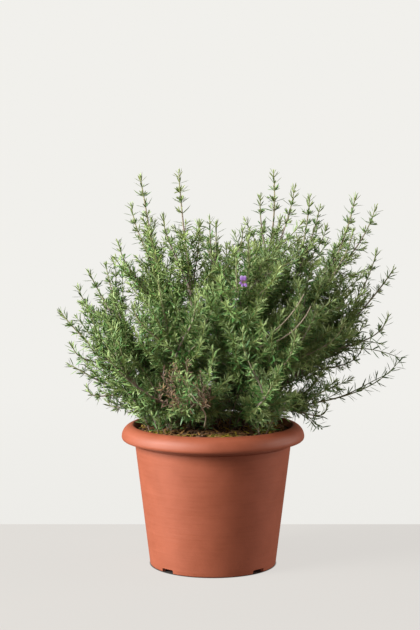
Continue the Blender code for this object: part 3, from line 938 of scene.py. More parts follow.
def grow_tuft(chance, growth, at, way, out, reach, tone, youth):
    """A tuft in a leaf's axil: a very short shoot with two crowded whorls of small leaves."""
    lean = math.radians(chance.gauss(38, 9))
    ahead = (way * math.cos(lean) + out * math.sin(lean)).normalized()
    tip = at + ahead * reach
    if not above_pot([at, at, tip]):
        return
    growth.shoots.append(Shoot([at, tip], TUFT_RADII, (0.10, 0.0), tone))
    turn = chance.uniform(0, math.tau)
    middle = at.lerp(tip, 0.55)
    growth.whorls.append((*middle, *ahead, turn, 52, 0.52, youth * 0.7, tone, 3))
    growth.whorls.append((*tip, *ahead, turn + 0.8, 26, 0.42, youth, tone, 3))


def grow_side(chance, growth, at, way, out, reach, tone):
    """A side shoot with its own whorls and tufts."""
    lean = math.radians(chance.gauss(52, 13))
    ahead = (way * math.cos(lean) + out * math.sin(lean)).normalized()
    outward = Vector((at.x, at.y, 0)) * 4.0
    towards = outward + Vector((0, 0, chance.uniform(0.2, 1.0))) + any_way(chance) * 0.5
    points = bent_points(at, ahead, towards.normalized(), reach, chance.uniform(0.3, 1.1))
    if not above_pot(points) or not in_crown(points[-1]):
        return
    growth.shoots.append(Shoot(points, SIDE_RADII, (chance.uniform(0.08, 0.4), 0.0), tone))
    route = Route(points)
    vigour = SIDE_VIGOUR * chance.uniform(0.85, 1.25)
    turn = chance.uniform(0, math.tau)
    for rank, back in enumerate(places_back(route.length - 0.003, SIDE_NODES, chance)):
        node, ahead = route.at(route.length - back)
        youth = max(0.0, 1 - back / YOUNG_REACH)
        add_whorl(growth, node, ahead, turn, rank, vigour, youth, tone)
        if back > 0.011:
            for half_turn in (0, math.pi):
                if chance.random() < TUFT_CHANCE:
                    out = square_to(ahead, turn + half_turn + 0.5)
                    grow_tuft(chance, growth, node, ahead, out, chance.uniform(0.003, 0.007), tone, 0.6)
        turn += math.pi / 4


def grow_leader(chance, growth, points, radii, ages, longest):
    """A main stem or a long branch: whorls and tufts up to its tip, side shoots lower down."""
    route = Route(points)
    tone = local_tone(points[-1], chance)
    growth.shoots.append(Shoot(points, radii, ages, chance.random()))
    turn = chance.uniform(0, math.tau)
    reach_back = min(route.length * 0.86, LEAFY_REACH + 0.11)
    for rank, back in enumerate(places_back(reach_back, LEADER_NODES, chance)):
        node, way = route.at(route.length - back)
        youth = max(0.0, 1 - back / YOUNG_REACH)
        node_tone = 0.5 * tone + 0.5 * local_tone(node, chance)
        if back < LEAFY_REACH * chance.uniform(0.7, 1.1):
            vigour = 1.0 if back < SPIKE_REACH else 0.86
            add_whorl(growth, node, way, turn, rank, vigour, youth, node_tone)
        for quarter in range(4):
            if chance.random() > SIDE_CHANCES[quarter % 2]:
                continue
            reach = side_reach(back, longest, chance)
            out = square_to(way, turn + quarter * math.pi / 2)
            if reach > TUFT_LONGEST:
                if quarter % 2 == 0:
                    grow_side(chance, growth, node, way, out, reach, node_tone)
            elif reach > 0:
                grow_tuft(chance, growth, node, way, out, reach, node_tone, 0.7)
        turn += math.pi / 4


def awkwardness(fork, tip):
    """How badly a fork place suits a branch that is to end at a tip."""
    _, at, way = fork
    span = tip - at
    return abs(span.length - BRANCH_LENGTH) / BRANCH_LENGTH + 1.2 * (1 - way @ span.normalized())


@functools.lru_cache(maxsize=None)
def branch_plan():
    """Branches that fill the crown: to many places in it, each off the stem that best reaches there."""
    chance = random.Random(CROWN_SEED)
    forks = []
    for number, stem in enumerate(STEMS):
        route = Route(stem_points(stem))
        for share in FORK_SHARES:
            forks.append((number, *route.at(route.length * share)))
    plan = {number: [] for number in range(len(STEMS))}
    planned = 0
    while planned < BRANCHES:
        tip = Vector([chance.uniform(*span) for span in TIP_REGION])
        deep_inside = in_crown(tip * 0.62 + Vector((0.008, 0, 0.08)))
        if not in_crown(tip) or deep_inside and chance.random() < 0.4:
            continue
        if chance.random() < (tip.z - AIRY_ABOVE) / (AIRY_TOP - AIRY_ABOVE):
            continue
        number, at, way = min(forks, key=lambda fork: awkwardness(fork, tip))
        span = (tip - at).normalized()
        setting_off = (way + span * 0.8 + any_way(chance) * 0.3).normalized()
        tip_way = span + Vector((tip.x * 2.5, tip.y * 2.5, 0.4)) + any_way(chance) * 0.6
        points = curve_between(at, setting_off, tip, tip_way.normalized(), 20)
        if above_pot(points):
            plan[number].append(points)
            planned += 1
    return plan


def grow_sparse(chance, growth, points, radii):
    """A trailing shoot: small groups of leaves well apart, and hardly a tuft."""
    route = Route(points)
    growth.shoots.append(Shoot(points, radii, (0.35, 0.0), 0.2))
    turn = chance.uniform(0, math.tau)
    for rank, back in enumerate(places_back(min(route.length * 0.8, 0.085), TRAILER_NODES, chance)):
        node, way = route.at(route.length - back)
        add_whorl(growth, node, way, turn, min(rank + 1, 3), 1.08, 0.1, 0.30, 3)
        turn += 1.1


@functools.lru_cache(maxsize=None)
def grown_stem(number):
    """Everything that grows on one main stem, the same each time."""
    chance = random.Random(CROWN_SEED + number)
    growth = Growth()
    points = stem_points(STEMS[number])
    route = Route(points)
    if number in TRAILING_STEMS:
        grow_sparse(chance, growth, points, TRAILING_STEM_RADII)
    else:
        grow_leader(chance, growth, points, STEM_RADII, (1.0, 0.1), 0.048)
    for stem, share, tip in FORKS:
        if stem != number:
            continue
        at, way = route.at(route.length * share)
        tip = Vector(tip)
        setting_off = (way + (tip - at).normalized()).normalized()
        tip_way = Vector((tip.x * 0.5, tip.y * 0.5, 0.35)).normalized()
        branch = curve_between(at, setting_off, tip, tip_way, 24)
        grow_leader(chance, growth, branch, FORK_RADII, (0.62, 0.1), 0.040)
    for branch in branch_plan()[number]:
        ages = (chance.uniform(0.10, 0.5), 0.0)
        grow_leader(chance, growth, branch, BRANCH_RADII, ages, 0.034)
    for stem, share, tip, tip_way in TRAILERS:
        if stem == number:
            at, way = route.at(route.length * share)
            trailer = curve_between(at, way, Vector(tip), heading(*tip_way), 24)
            grow_sparse(chance, growth, trailer, TRAILER_RADII)
    return growth


@functools.lru_cache(maxsize=None)
def grown_base():
    """Short leafy shoots that come up round the stocks."""
    chance = random.Random(CROWN_SEED - 1)
    growth = Growth()
    made = 0
    while made < BASAL_SHOOTS:
        turn, reach = chance.uniform(0, math.tau), 0.083 * math.sqrt(chance.uniform(0.02, 1))
        start = Vector((reach * math.cos(turn), reach * math.sin(turn), mix_height(reach) - 0.004))
        if start.y < -0.036 and abs(start.x) < FRONT_GAP:
            continue
        out = Vector((start.x, start.y, 0)).normalized() * chance.uniform(0.1, 0.9)
        way = (out + Vector((0, 0, 1)) + any_way(chance) * 0.3).normalized()
        towards = (out * 1.5 + Vector((0, 0, 0.6)) + any_way(chance) * 0.5).normalized()
        points = bent_points(start, way, towards, chance.uniform(0.030, 0.075), 0.9)
        if above_pot(points):
            grow_leader(chance, growth, points, BASAL_RADII, (0.95, 0.1), 0.018)
            made += 1
    return growth


@functools.lru_cache(maxsize=None)
def grown_dry():
    """A patch of dead sprigs low down in front, and a few twigs that have lost their leaves."""
    chance = random.Random(CROWN_SEED - 2)
    growth = Growth()
    for _ in range(DRY_SPRIGS):
        foot = Vector((chance.gauss(-0.022, 0.010), -0.030, 0.176))
        beside, before = chance.gauss(-0.036, 0.019), chance.gauss(-0.116, 0.014)
        tip = Vector((beside, before, chance.uniform(0.206, 0.260)))
        points = curve_between(foot, heading(270, 50), tip, heading(chance.uniform(200, 340), 40), 16)
        growth.shoots.append(Shoot(points, DRY_RADII, (0.45, 0.3), chance.uniform(0.5, 1)))
        route = Route(points)
        for rank, back in enumerate(places_back(route.length * 0.6, DRY_NODES, chance)):
            node, way = route.at(route.length - back)
            turn = chance.uniform(0, math.tau)
            add_whorl(growth, node, way, turn, min(rank + 1, 4), 0.6, 0, chance.random(), 3)
    for foot, way, tip, tip_way in BARE_TWIGS:
        points = curve_between(Vector(foot), heading(*way), Vector(tip), heading(*tip_way), 16)
        growth.shoots.append(Shoot(points, BARE_RADII, (0.42, 0.34), 1.0))
    return growth


def leaf_rows(whorls, seed):
    """Every leaf of every whorl: feet, axes, and lengths, widths, bends, youths and tones."""
    whorls = np.array(whorls)
    randomly = np.random.default_rng(seed)
    counts = whorls[:, 11].astype(int)
    rows = np.repeat(whorls, counts, axis=0)
    total = len(rows)
    place = np.arange(total) - np.repeat(np.cumsum(counts) - counts, counts)
    way = rows[:, 3:6]
    guide = np.where(np.abs(way[:, 2:]) < 0.9, (0.21, 0.13, 0.97), (0.94, 0.31, 0.10))
    across = unit(np.cross(way, guide))
    turn = (rows[:, 6] + math.tau * place / rows[:, 11] + randomly.normal(0, 0.18, total))[:, None]
    out = across * np.cos(turn) + np.cross(way, across) * np.sin(turn)
    lean = np.radians(np.clip(rows[:, 7] + randomly.normal(0, 13, total), 6, 112))[:, None]
    along = unit(way * np.cos(lean) + out * np.sin(lean) + np.array((0, 0, 0.08)))
    above = way - along * (way * along).sum(1)[:, None]
    above = unit(unit(above) + np.cross(along, above) * randomly.normal(0, 0.25, total)[:, None])
    above = unit(above - along * (above * along).sum(1)[:, None])
    axes = np.stack([along, np.cross(above, along), above], 1)
    lengths = rows[:, 8] * randomly.uniform(0.80, 1.15, total)
    widths = np.minimum(1.0, 0.45 + 0.55 * rows[:, 8]) * randomly.uniform(0.85, 1.15, total)
    bends = randomly.normal(0.0, 0.13, total)
    youths = np.clip(rows[:, 9] + randomly.normal(0, 0.10, total), 0, 1)
    tones = np.clip(rows[:, 10] + randomly.normal(0, 0.14, total), 0, 1)
    return rows[:, :3] + out * 0.0004, axes, lengths, widths, bends, youths, tones


# ---------------------------------------------------------------------------------------------------
# Wood


def tube_map(shoots):
    """A rectangle of the piece's map for each shoot: leaders get long strips, twigs share a grid."""
    leaders = [n for n, shoot in enumerate(shoots) if shoot.radii[0] > THICK]
    twigs = [n for n, shoot in enumerate(shoots) if shoot.radii[0] <= THICK]
    leader_share = 0.30 if twigs else 1.0
    boxes = {}
    for row, n in enumerate(leaders):
        tall = leader_share / len(leaders)
        boxes[n] = (0.0, row * tall, 1.0, tall)
    side = max(1, math.ceil(math.sqrt(len(twigs))))
    for cell, n in enumerate(twigs):
        wide, tall = 1 / side, (1 - leader_share) / side
        boxes[n] = ((cell % side) * wide, leader_share + (cell // side) * tall, wide, tall)
    return [boxes[n] for n in range(len(shoots))]


def tube_sides(shoot):
    if shoot.radii[0] > THICKEST:
        return 10
    if shoot.radii[0] > THICK:
        return 7
    return 5 if len(shoot.points) > 2 else 3


def tube_mesh(name, shoots):
    """One mesh of closed tapering tubes, one for each shoot, rounded off at both ends."""
    points, faces, map_places, ages, tones = [], [], [], [], []
    base = 0
    for shoot, (left, low, wide, tall) in zip(shoots, tube_map(shoots)):
        path, sides = np.array(shoot.points), tube_sides(shoot)
        count = len(path)
        gone = np.concatenate([[0], np.cumsum(np.linalg.norm(np.diff(path, axis=0), axis=1))])
        share = gone / gone[-1]
        radii = (shoot.radii[0] + (shoot.radii[1] - shoot.radii[0]) * share)[:, None]
        if shoot.radii[0] > THICKEST:
            radii[1:4] *= np.array((1.55, 1.30, 1.12))[:, None]
        ahead = unit(np.gradient(path, axis=0))
        first = np.array(square_to(Vector(ahead[0]), 0))
        across = unit(first - ahead * (ahead @ first)[:, None])
        up = np.cross(ahead, across)
        turns = np.arange(sides) * math.tau / sides
        turns = turns[None, :, None]
        ring = across[:, None] * np.cos(turns) + up[:, None] * np.sin(turns)
        points.append((path[:, None] + ring * radii[:, None]).reshape(-1, 3))
        points.append(path[[0, -1]] + ahead[[0, -1]] * radii[[0, -1]] * np.array([[-0.6], [0.8]]))
        foot, tip, last = base + count * sides, base + count * sides + 1, base + (count - 1) * sides
        lengthways = 0.06 + 0.88 * share
        for s in range(sides):
            nearer, further = s / sides, (s + 1) / sides
            t = (s + 1) % sides
            faces.append((foot, base + t, base + s))
            map_places += [(0.01, (nearer + further) / 2), (0.06, further), (0.06, nearer)]
            faces.append((last + s, last + t, tip))
            map_places += [(0.94, nearer), (0.94, further), (0.99, (nearer + further) / 2)]
            for i in range(count - 1):
                row = base + i * sides
                faces.append((row + s, row + t, row + sides + t, row + sides + s))
                here, there = lengthways[i], lengthways[i + 1]
                map_places += [(here, nearer), (here, further), (there, further), (there, nearer)]
        new_corners = sides * 6 + sides * 4 * (count - 1)
        block = np.array(map_places[-new_corners:]) * 0.92 + 0.04
        map_places[-new_corners:] = (block * (wide, tall) + (left, low)).tolist()
        age = shoot.ages[0] + (shoot.ages[1] - shoot.ages[0]) * share
        ages.append(np.concatenate([age.repeat(sides), shoot.ages]))
        tones.append(np.full(count * sides + 2, shoot.tone))
        base += count * sides + 2
    mesh = bpy.data.meshes.new(name)
    mesh.from_pydata(np.concatenate(points).tolist(), [], faces)
    layer = mesh.uv_layers.new(name="OFBake", do_init=False)
    layer.uv.foreach_set("vector", np.array(map_places, np.float32).ravel())
    write_mark(mesh, "age", np.concatenate(ages))
    write_mark(mesh, "tone", np.concatenate(tones))
    mesh.shade_smooth()
    return put_in_scene(name, mesh)


def leaf_mesh(name, whorls, look, seed):
    """One mesh of leaves, without those that would touch the pot or the mix."""
    feet, axes, lengths, widths, bends, youths, tones = leaf_rows(whorls, seed)
    lengths, widths = lengths * look.length, widths * look.width / 2
    tips = feet + axes[:, 0] * lengths[:, None]
    kept = (tips[:, 2] > lowest_allowed(tips)) & (feet[:, 2] > lowest_allowed(feet) - 0.002)
    scales = np.stack([lengths, widths, np.full(len(feet), LEAF_THICKNESS)], 1)
    marks = {"youth": youths[kept], "tone": tones[kept]}
    return laid_out(name, leaf_pattern(), feet[kept], axes[kept], scales[kept], marks, bends[kept])


# ---------------------------------------------------------------------------------------------------
# Operators


class ROSEMARY_OT_pot(bpy.types.Operator):
    """The rolled-rim pot, turned in one piece, with drain holes and notches in its foot"""

    bl_idname = "rosemary.pot"
    bl_label = "Pot"

    def execute(self, context):
        floor_top = CHANNEL_RISE + WALL
        lip_bottom = POT_HEIGHT - LIP_HEIGHT
        turn_outline(self.outline(floor_top, lip_bottom), POT_SEGMENTS)
        pot = settle("pot_shell", 32)
        for angle in NOTCH_ANGLES:
            cut_out(pot, self.notch_cutter(angle))
        for number in range(DRAIN_HOLES):
            cut_out(pot, self.drain_cutter(360 * number / DRAIN_HOLES, floor_top))
        start_piece()
        bpy.context.view_layer.objects.active = pot
        settle("pot_shell", 32)
        seat(pot, plastic_finish(context.scene.rosemary_pot), "terracotta_plastic", "pot", "pot_rim")
        return {"FINISHED"}

    def outline(self, floor_top, lip_bottom):
        """The pot's section: underside, wall, rolled rim and inside, back to the axis."""
        underside = [(0, 0), (CHANNEL_RADIUS, 0), (CHANNEL_RADIUS + CHANNEL_SLOPE, CHANNEL_RISE)]
        underside += [(FOOT_RING_INNER_RADIUS - 0.0005, CHANNEL_RISE), (FOOT_RING_INNER_RADIUS, 0.0004)]
        underside += [(FOOT_RING_INNER_RADIUS + 0.0005, 0), (WALL_FOOT_RADIUS - 0.0016, 0)]
        underside += [(WALL_FOOT_RADIUS - 0.0007, 0.0004), (WALL_FOOT_RADIUS - 0.0001, 0.0012)]
        wall = [(wall_radius(h), h) for h in np.linspace(FOOT_CHAMFER, LEDGE_HEIGHT, 24)]
        step_heights = (LEDGE_HEIGHT + 0.0006, WALL_TOP_HEIGHT, 0.160)
        step = [(wall_radius(h) - LEDGE_DEPTH, h) for h in step_heights]
        rim_underside = self.roll(RIM_ROLL_WIDTH - WALL, RIM_ROLL_DROP - WALL, 82, 0)
        lip = [
            (RIM_RADIUS - WALL - 0.0016, lip_bottom + 0.0006),
            (RIM_RADIUS - WALL - 0.0010, lip_bottom),
            (RIM_RADIUS - 0.0020, lip_bottom),
            (RIM_RADIUS - 0.0008, lip_bottom + 0.0010),
            (RIM_RADIUS - 0.0002, lip_bottom + 0.0024),
        ]
        rim_outside = self.roll(RIM_ROLL_WIDTH, RIM_ROLL_DROP, 0, 90)
        shoulder = [(RIM_INNER_RADIUS + 0.0004, POT_HEIGHT - 0.0003)]
        shoulder += [(RIM_INNER_RADIUS, POT_HEIGHT - 0.0014)]
        inside_heights = np.linspace(WALL_TOP_HEIGHT, floor_top + 0.003, 12)
        inside = [(wall_radius(h) - WALL, h) for h in inside_heights]
        inside += [(wall_radius(floor_top) - WALL - 0.003, floor_top)]
        channel = CHANNEL_RADIUS - WALL * 0.6
        floor = [(channel + CHANNEL_SLOPE, floor_top), (channel, WALL), (0, WALL)]
        return underside + wall + step + rim_underside + lip + rim_outside + shoulder + inside + floor

    def roll(self, width, drop, first, last):
        """Points round the rim's rolled top, from one angle to another, in degrees from level."""
        across, up = RIM_RADIUS - RIM_ROLL_WIDTH, POT_HEIGHT - RIM_ROLL_DROP
        angles = np.radians(np.linspace(first, last, 14))
        return [(across + width * math.cos(a), up + drop * math.sin(a)) for a in angles]

    def notch_cutter(self, angle):
        start_piece()
        place = round_axis(NOTCH_RADIUS, angle, 0)
        bpy.ops.mesh.primitive_cube_add(size=1, location=place, rotation=(0, 0, math.radians(angle)))
        cutter = bpy.context.object
        cutter.scale = (NOTCH_DEPTH, NOTCH_WIDTH, NOTCH_HEIGHT * 2)
        bpy.ops.object.transform_apply(location=False, rotation=False, scale=True)
        edit_all()
        bpy.ops.mesh.bevel(offset=0.0014, segments=3, affect="EDGES")
        bpy.ops.object.mode_set(mode="OBJECT")
        return cutter

    def drain_cutter(self, angle, floor_top):
        start_piece()
        reach = (CHANNEL_RADIUS + FOOT_RING_INNER_RADIUS + CHANNEL_SLOPE) / 2
        bpy.ops.mesh.primitive_cylinder_add(
            vertices=24,
            radius=DRAIN_HOLE_RADIUS,
            depth=0.01,
            location=round_axis(reach, angle, floor_top - WALL / 2),
        )
        return bpy.context.object


class ROSEMARY_OT_potting_mix(bpy.types.Operator):
    """The potting mix: a plug that fills the pot, with a crumbly domed top"""

    bl_idname = "rosemary.potting_mix"
    bl_label = "Potting mix"

    def execute(self, context):
        start_piece()
        floor_top = CHANNEL_RISE + WALL + MIX_GAP
        side = [(wall_radius(h) - WALL - MIX_GAP, h) for h in (floor_top + 0.003, 0.020, 0.075, 0.120)]
        top = [(MIX_RADIUS * share, mix_height(MIX_RADIUS * share)) for share in np.linspace(1, 0, 48)]
        outline = [(0, floor_top), (side[0][0] - 0.003, floor_top)] + side + top
        turn_outline(outline, 144)
        mix = settle("mix_plug", 60)
        group = mix.vertex_groups.new(name="top")
        inner = MIX_RADIUS * 0.985
        chosen = [
            v.index for v in mix.data.vertices if v.co.z > 0.15 and math.hypot(v.co.x, v.co.y) < inner
        ]
        group.add(chosen, 1.0, "REPLACE")
        roughen(mix, 0.012, 0.0030, "top")
        roughen(mix, 0.0035, 0.0018, "top")
        seat(mix, mix_finish(context.scene.rosemary_mix), "potting_mix", "potting_mix")
        return {"FINISHED"}


MOSS_TUFTS = 900  # on each cushion


class ROSEMARY_OT_moss(bpy.types.Operator):
    """The moss cushions: three low mounds, each covered in short upright leaves"""

    bl_idname = "rosemary.moss"
    bl_label = "Moss cushions"

    def execute(self, context):
        finish = moss_finish(context.scene.rosemary_mix)
        randomly = np.random.default_rng(5)
        for side in ("left", "front", "right"):
            node = f"moss_cushion_{side}"
            low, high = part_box(node)
            mound = self.mound(f"moss_mound_{side}", low, high)
            write_mark(mound.data, "tone", randomly.uniform(0, 0.5, len(mound.data.vertices)))
            seat(mound, finish, "moss", node)
            tufts = self.tufts(f"moss_tufts_{side}", low, high, randomly)
            seat(tufts, finish, "moss")
        return {"FINISHED"}

    def mound(self, name, low, high):
        """A flattened ball with its underside pressed level and its top roughened."""
        start_piece()
        centre, half = (low + high) / 2, (high - low) / 2
        bpy.ops.mesh.primitive_ico_sphere_add(subdivisions=5, radius=1, location=(0, 0, 0))
        ball = bpy.context.object
        bpy.ops.object.mode_set(mode="EDIT")
        select_where(ball, lambda at: at.z < -0.25)
        bpy.ops.transform.resize(value=(1, 1, 0.35), center_override=(0, 0, -0.25))
        bpy.ops.object.mode_set(mode="OBJECT")
        ball.scale = (half.x * 1.02, half.y * 1.02, half.z * 1.25)
        ball.location = (centre.x, centre.y, centre.z - half.z * 0.35)
        mound = settle(name, 80)
        roughen(mound, 0.006, 0.0022)
        roughen(mound, 0.0016, 0.0010)
        return mound

    def tufts(self, name, low, high, randomly):
        """Short leaves standing on the mound."""
        start_piece()
        bpy.ops.mesh.primitive_cone_add(vertices=4, radius1=0.5, radius2=0, depth=1, location=(0, 0, 0.5))
        blade = settle("moss_blade")
        pattern = pattern_from(blade)
        count = MOSS_TUFTS
        centre, half = (low + high) / 2, (high - low) / 2
        turn = randomly.uniform(0, math.tau, count)
        reach = np.sqrt(randomly.uniform(0, 1, count))
        x = centre.x + half.x * reach * np.cos(turn)
        y = centre.y + half.y * reach * np.sin(turn)
        z = centre.z - half.z * 0.35 + half.z * 1.25 * np.sqrt(np.maximum(1 - reach**2, 0)) - 0.0006
        axes = random_axes(randomly, count, 0.72)
        height = randomly.uniform(0.0012, 0.0026, count)
        scales = np.stack([height * 0.34, height * 0.34, height], 1)
        marks = {"tone": randomly.uniform(0.2, 1.0, count)}
        return laid_out(name, pattern, np.stack([x, y, z], 1), axes, scales, marks)


BARK_CHIPS = 110
# Dead and loose things: the name of the material, then its dark, middle and light colours
SCRAPS = {
    "mix_crumbs": ("crumb", (0.045, 0.027, 0.015), (0.260, 0.140, 0.060), (0.420, 0.400, 0.050)),
    "bark_chips": ("bark_chip", (0.095, 0.046, 0.024), (0.330, 0.180, 0.095), (0.450, 0.270, 0.130)),
    "dead_leaves": ("dead_leaf", (0.230, 0.110, 0.040), (0.620, 0.340, 0.110), (0.720, 0.600, 0.040)),
    "dry_leaves": ("dry_leaf", (0.085, 0.052, 0.032), (0.310, 0.205, 0.130), (0.420, 0.270, 0.130)),
}


class ROSEMARY_OT_litter(bpy.types.Operator):
    """What lies loose on the mix: crumbs, bits of bark and dead leaves"""

    bl_idname = "rosemary.litter"
    bl_label = "Litter"

    def execute(self, context):
        look = context.scene.rosemary_mix
        randomly = np.random.default_rng(11)
        self.crumbs(randomly, look.crumbs)
        self.bark(randomly, BARK_CHIPS)
        self.dead_leaves(randomly, look.litter)
        return {"FINISHED"}

    def spots(self, randomly, count, lift, widest=0.965):
        """Random places on the mix, clear of the rim."""
        turn = randomly.uniform(0, math.tau, count)
        reach = MIX_RADIUS * widest * np.sqrt(randomly.uniform(0, 1, count))
        return np.stack([reach * np.cos(turn), reach * np.sin(turn), mix_height(reach) + lift], 1)

    def strew(self, name, pattern, spots, axes, scales, tones, slot, bends=None):
        """Lays copies of a pattern on the mix, as one piece."""
        strewn = laid_out(name, pattern, spots, axes, scales, {"tone": tones}, bends)
        seat(strewn, scrap_finish(*SCRAPS[name]), slot)

    def crumbs(self, randomly, count):
        start_piece()
        bpy.ops.mesh.primitive_ico_sphere_add(subdivisions=1, radius=0.5)
        edit_all()
        bpy.ops.transform.vertex_random(offset=0.18, seed=3)
        lump = settle("crumb", 20)
        size = randomly.uniform(0.0014, 0.0042, count)
        scales = size[:, None] * randomly.uniform(0.6, 1.2, (count, 3))
        spots = self.spots(randomly, count, randomly.uniform(0.0, 0.0028, count))
        tones = randomly.uniform(0, 0.86, count)
        axes = random_axes(randomly, count)
        self.strew("mix_crumbs", pattern_from(lump), spots, axes, scales, tones, "potting_mix")

    def bark(self, randomly, count):
        start_piece()
        bpy.ops.mesh.primitive_cube_add(size=1)
        edit_all()
        bpy.ops.mesh.bevel(offset=0.16, segments=1, affect="EDGES")
        bpy.ops.mesh.select_all(action="SELECT")
        bpy.ops.transform.vertex_random(offset=0.10, seed=8)
        chip = settle("bark_chip", 30)
        length = randomly.uniform(0.005, 0.013, count)
        width = length * randomly.uniform(0.3, 0.6, count)
        scales = np.stack([length, width, randomly.uniform(0.001, 0.0024, count)], 1)
        tones = randomly.uniform(0, 1, count)
        axes = random_axes(randomly, count, 0.75)
        spots = self.spots(randomly, count, 0.0022, 0.90)
        self.strew("bark_chips", pattern_from(chip), spots, axes, scales, tones, "bark")

    def dead_leaves(self, randomly, count):
        length = randomly.uniform(0.008, 0.014, count)
        scales = np.stack([length, np.full(count, 0.0011), np.full(count, 0.00035)], 1)
        tones = randomly.uniform(0, 1, count)
        axes = random_axes(randomly, count, 0.82)
        spots = self.spots(randomly, count, randomly.uniform(0.0020, 0.0050, count), 0.93)
        bends = randomly.normal(0.05, 0.2, count)
        self.strew("dead_leaves", leaf_pattern(), spots, axes, scales, tones, "potting_mix", bends)


class ROSEMARY_OT_stocks(bpy.types.Operator):
    """The woody stocks that the stems fork from"""

    bl_idname = "rosemary.stocks"
    bl_label = "Woody stocks"

    def execute(self, context):
        finish = wood_finish(context.scene.rosemary_wood)
        for node, (foot, top, radius) in STOCKS.items():
            stock = self.stock(node.replace("stock", "wood_stock"), node, foot, top, radius)
            count = len(stock.data.vertices)
            write_mark(stock.data, "age", np.full(count, 1.0))
            write_mark(stock.data, "tone", np.full(count, 0.3))
            seat(stock, finish, "bark", node)
        return {"FINISHED"}

    def stock(self, name, node, foot, top, radius):
        """A leaning post with a flared foot and a knuckled top, its bark furrowed."""
        start_piece()
        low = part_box(node)[0].z
        soil = mix_height(math.hypot(*foot))
        height = top[2] - low
        bpy.ops.mesh.primitive_cylinder_add(
            vertices=28, radius=radius, depth=height, location=(foot[0], foot[1], low + height / 2)
        )
        post = bpy.context.object
        bpy.ops.object.transform_apply(location=True, rotation=True, scale=True)
        bpy.ops.object.mode_set(mode="EDIT")
        levels = np.linspace(low, top[2], 26)[1:-1]
        cut_rings(levels)
        for level in [low, *levels, top[2]]:
            select_where(post, lambda at: abs(at.z - level) < 1e-5)
            width = self.width(level, low, soil, top[2])
            bpy.ops.transform.resize(value=(width, width, 1), center_override=(foot[0], foot[1], level))
            share = max(0.0, (level - soil) / (top[2] - soil))
            shift = ((top[0] - foot[0]) * share, (top[1] - foot[1]) * share, 0)
            bpy.ops.transform.translate(value=shift)
        bpy.ops.object.mode_set(mode="OBJECT")
        post = settle(name, 60)
        roughen(post, 0.008, 0.0026)
        roughen(post, 0.0022, 0.0010)
        return post

    def width(self, level, low, soil, top):
        """The stock's radius at a level, as a share of its radius at the soil."""
        if level < soil:
            return 0.55 + 0.55 * (level - low) / (soil - low)
        share = (level - soil) / (top - soil)
        flare = 0.30 * math.exp(-share * 9)
        knuckle = 0.12 * math.exp(-(((share - 0.82) / 0.14) ** 2))
        cap = 0.55 * max(0.0, (share - 0.90) / 0.10) ** 2
        return 0.82 + flare + knuckle - cap


class ROSEMARY_OT_stems(bpy.types.Operator):
    """The wood: each main stem with its forks, side shoots and twigs"""

    bl_idname = "rosemary.stems"
    bl_label = "Stems"

    def execute(self, context):
        finish = wood_finish(context.scene.rosemary_wood)
        for number in range(len(STEMS)):
            wood = tube_mesh(f"wood_{number + 1:02d}", grown_stem(number).shoots)
            seat(wood, finish, "twig", f"stem_{number + 1:02d}")
        for name, growth in (("basal_wood", grown_base()), ("dry_wood", grown_dry())):
            wood = tube_mesh(name, growth.shoots)
            seat(wood, finish, "twig")
        return {"FINISHED"}


class ROSEMARY_OT_leaves(bpy.types.Operator):
    """The leaves: one blade modelled, then set in whorls all along the shoots"""

    bl_idname = "rosemary.leaves"
    bl_label = "Leaves"

    def execute(self, context):
        look = context.scene.rosemary_leaf
        finish = leaf_finish(look)
        for number in range(len(STEMS)):
            name = f"leaves_{number + 1:02d}"
            leaves = leaf_mesh(name, grown_stem(number).whorls, look, CROWN_SEED + number)
            seat(leaves, finish, "foliage", f"leaf_plume_{number + 1:02d}")
        basal = leaf_mesh("basal_leaves", grown_base().whorls, look, CROWN_SEED - 1)
        seat(basal, finish, "foliage")
        dry = leaf_mesh("dry_leaves", grown_dry().whorls, look, CROWN_SEED - 2)
        seat(dry, scrap_finish(*SCRAPS["dry_leaves"]), "foliage")
        return {"FINISHED"}


CALYX_RADIUS = 0.0013
CALYX_LENGTH = 0.006
# Up the calyx from its foot: height along it, and its width there as a share of its radius
CALYX_WIDTHS = {-0.003: 0.45, -0.0015: 1.0, 0.0005: 1.35, 0.002: 1.6, 0.003: 1.75}
# Round the flower: the angle each petal points, and its length beside the shortest
PETALS = ((78, 1.5), (112, 1.6), (192, 1.0), (248, 1.05), (304, 1.15))


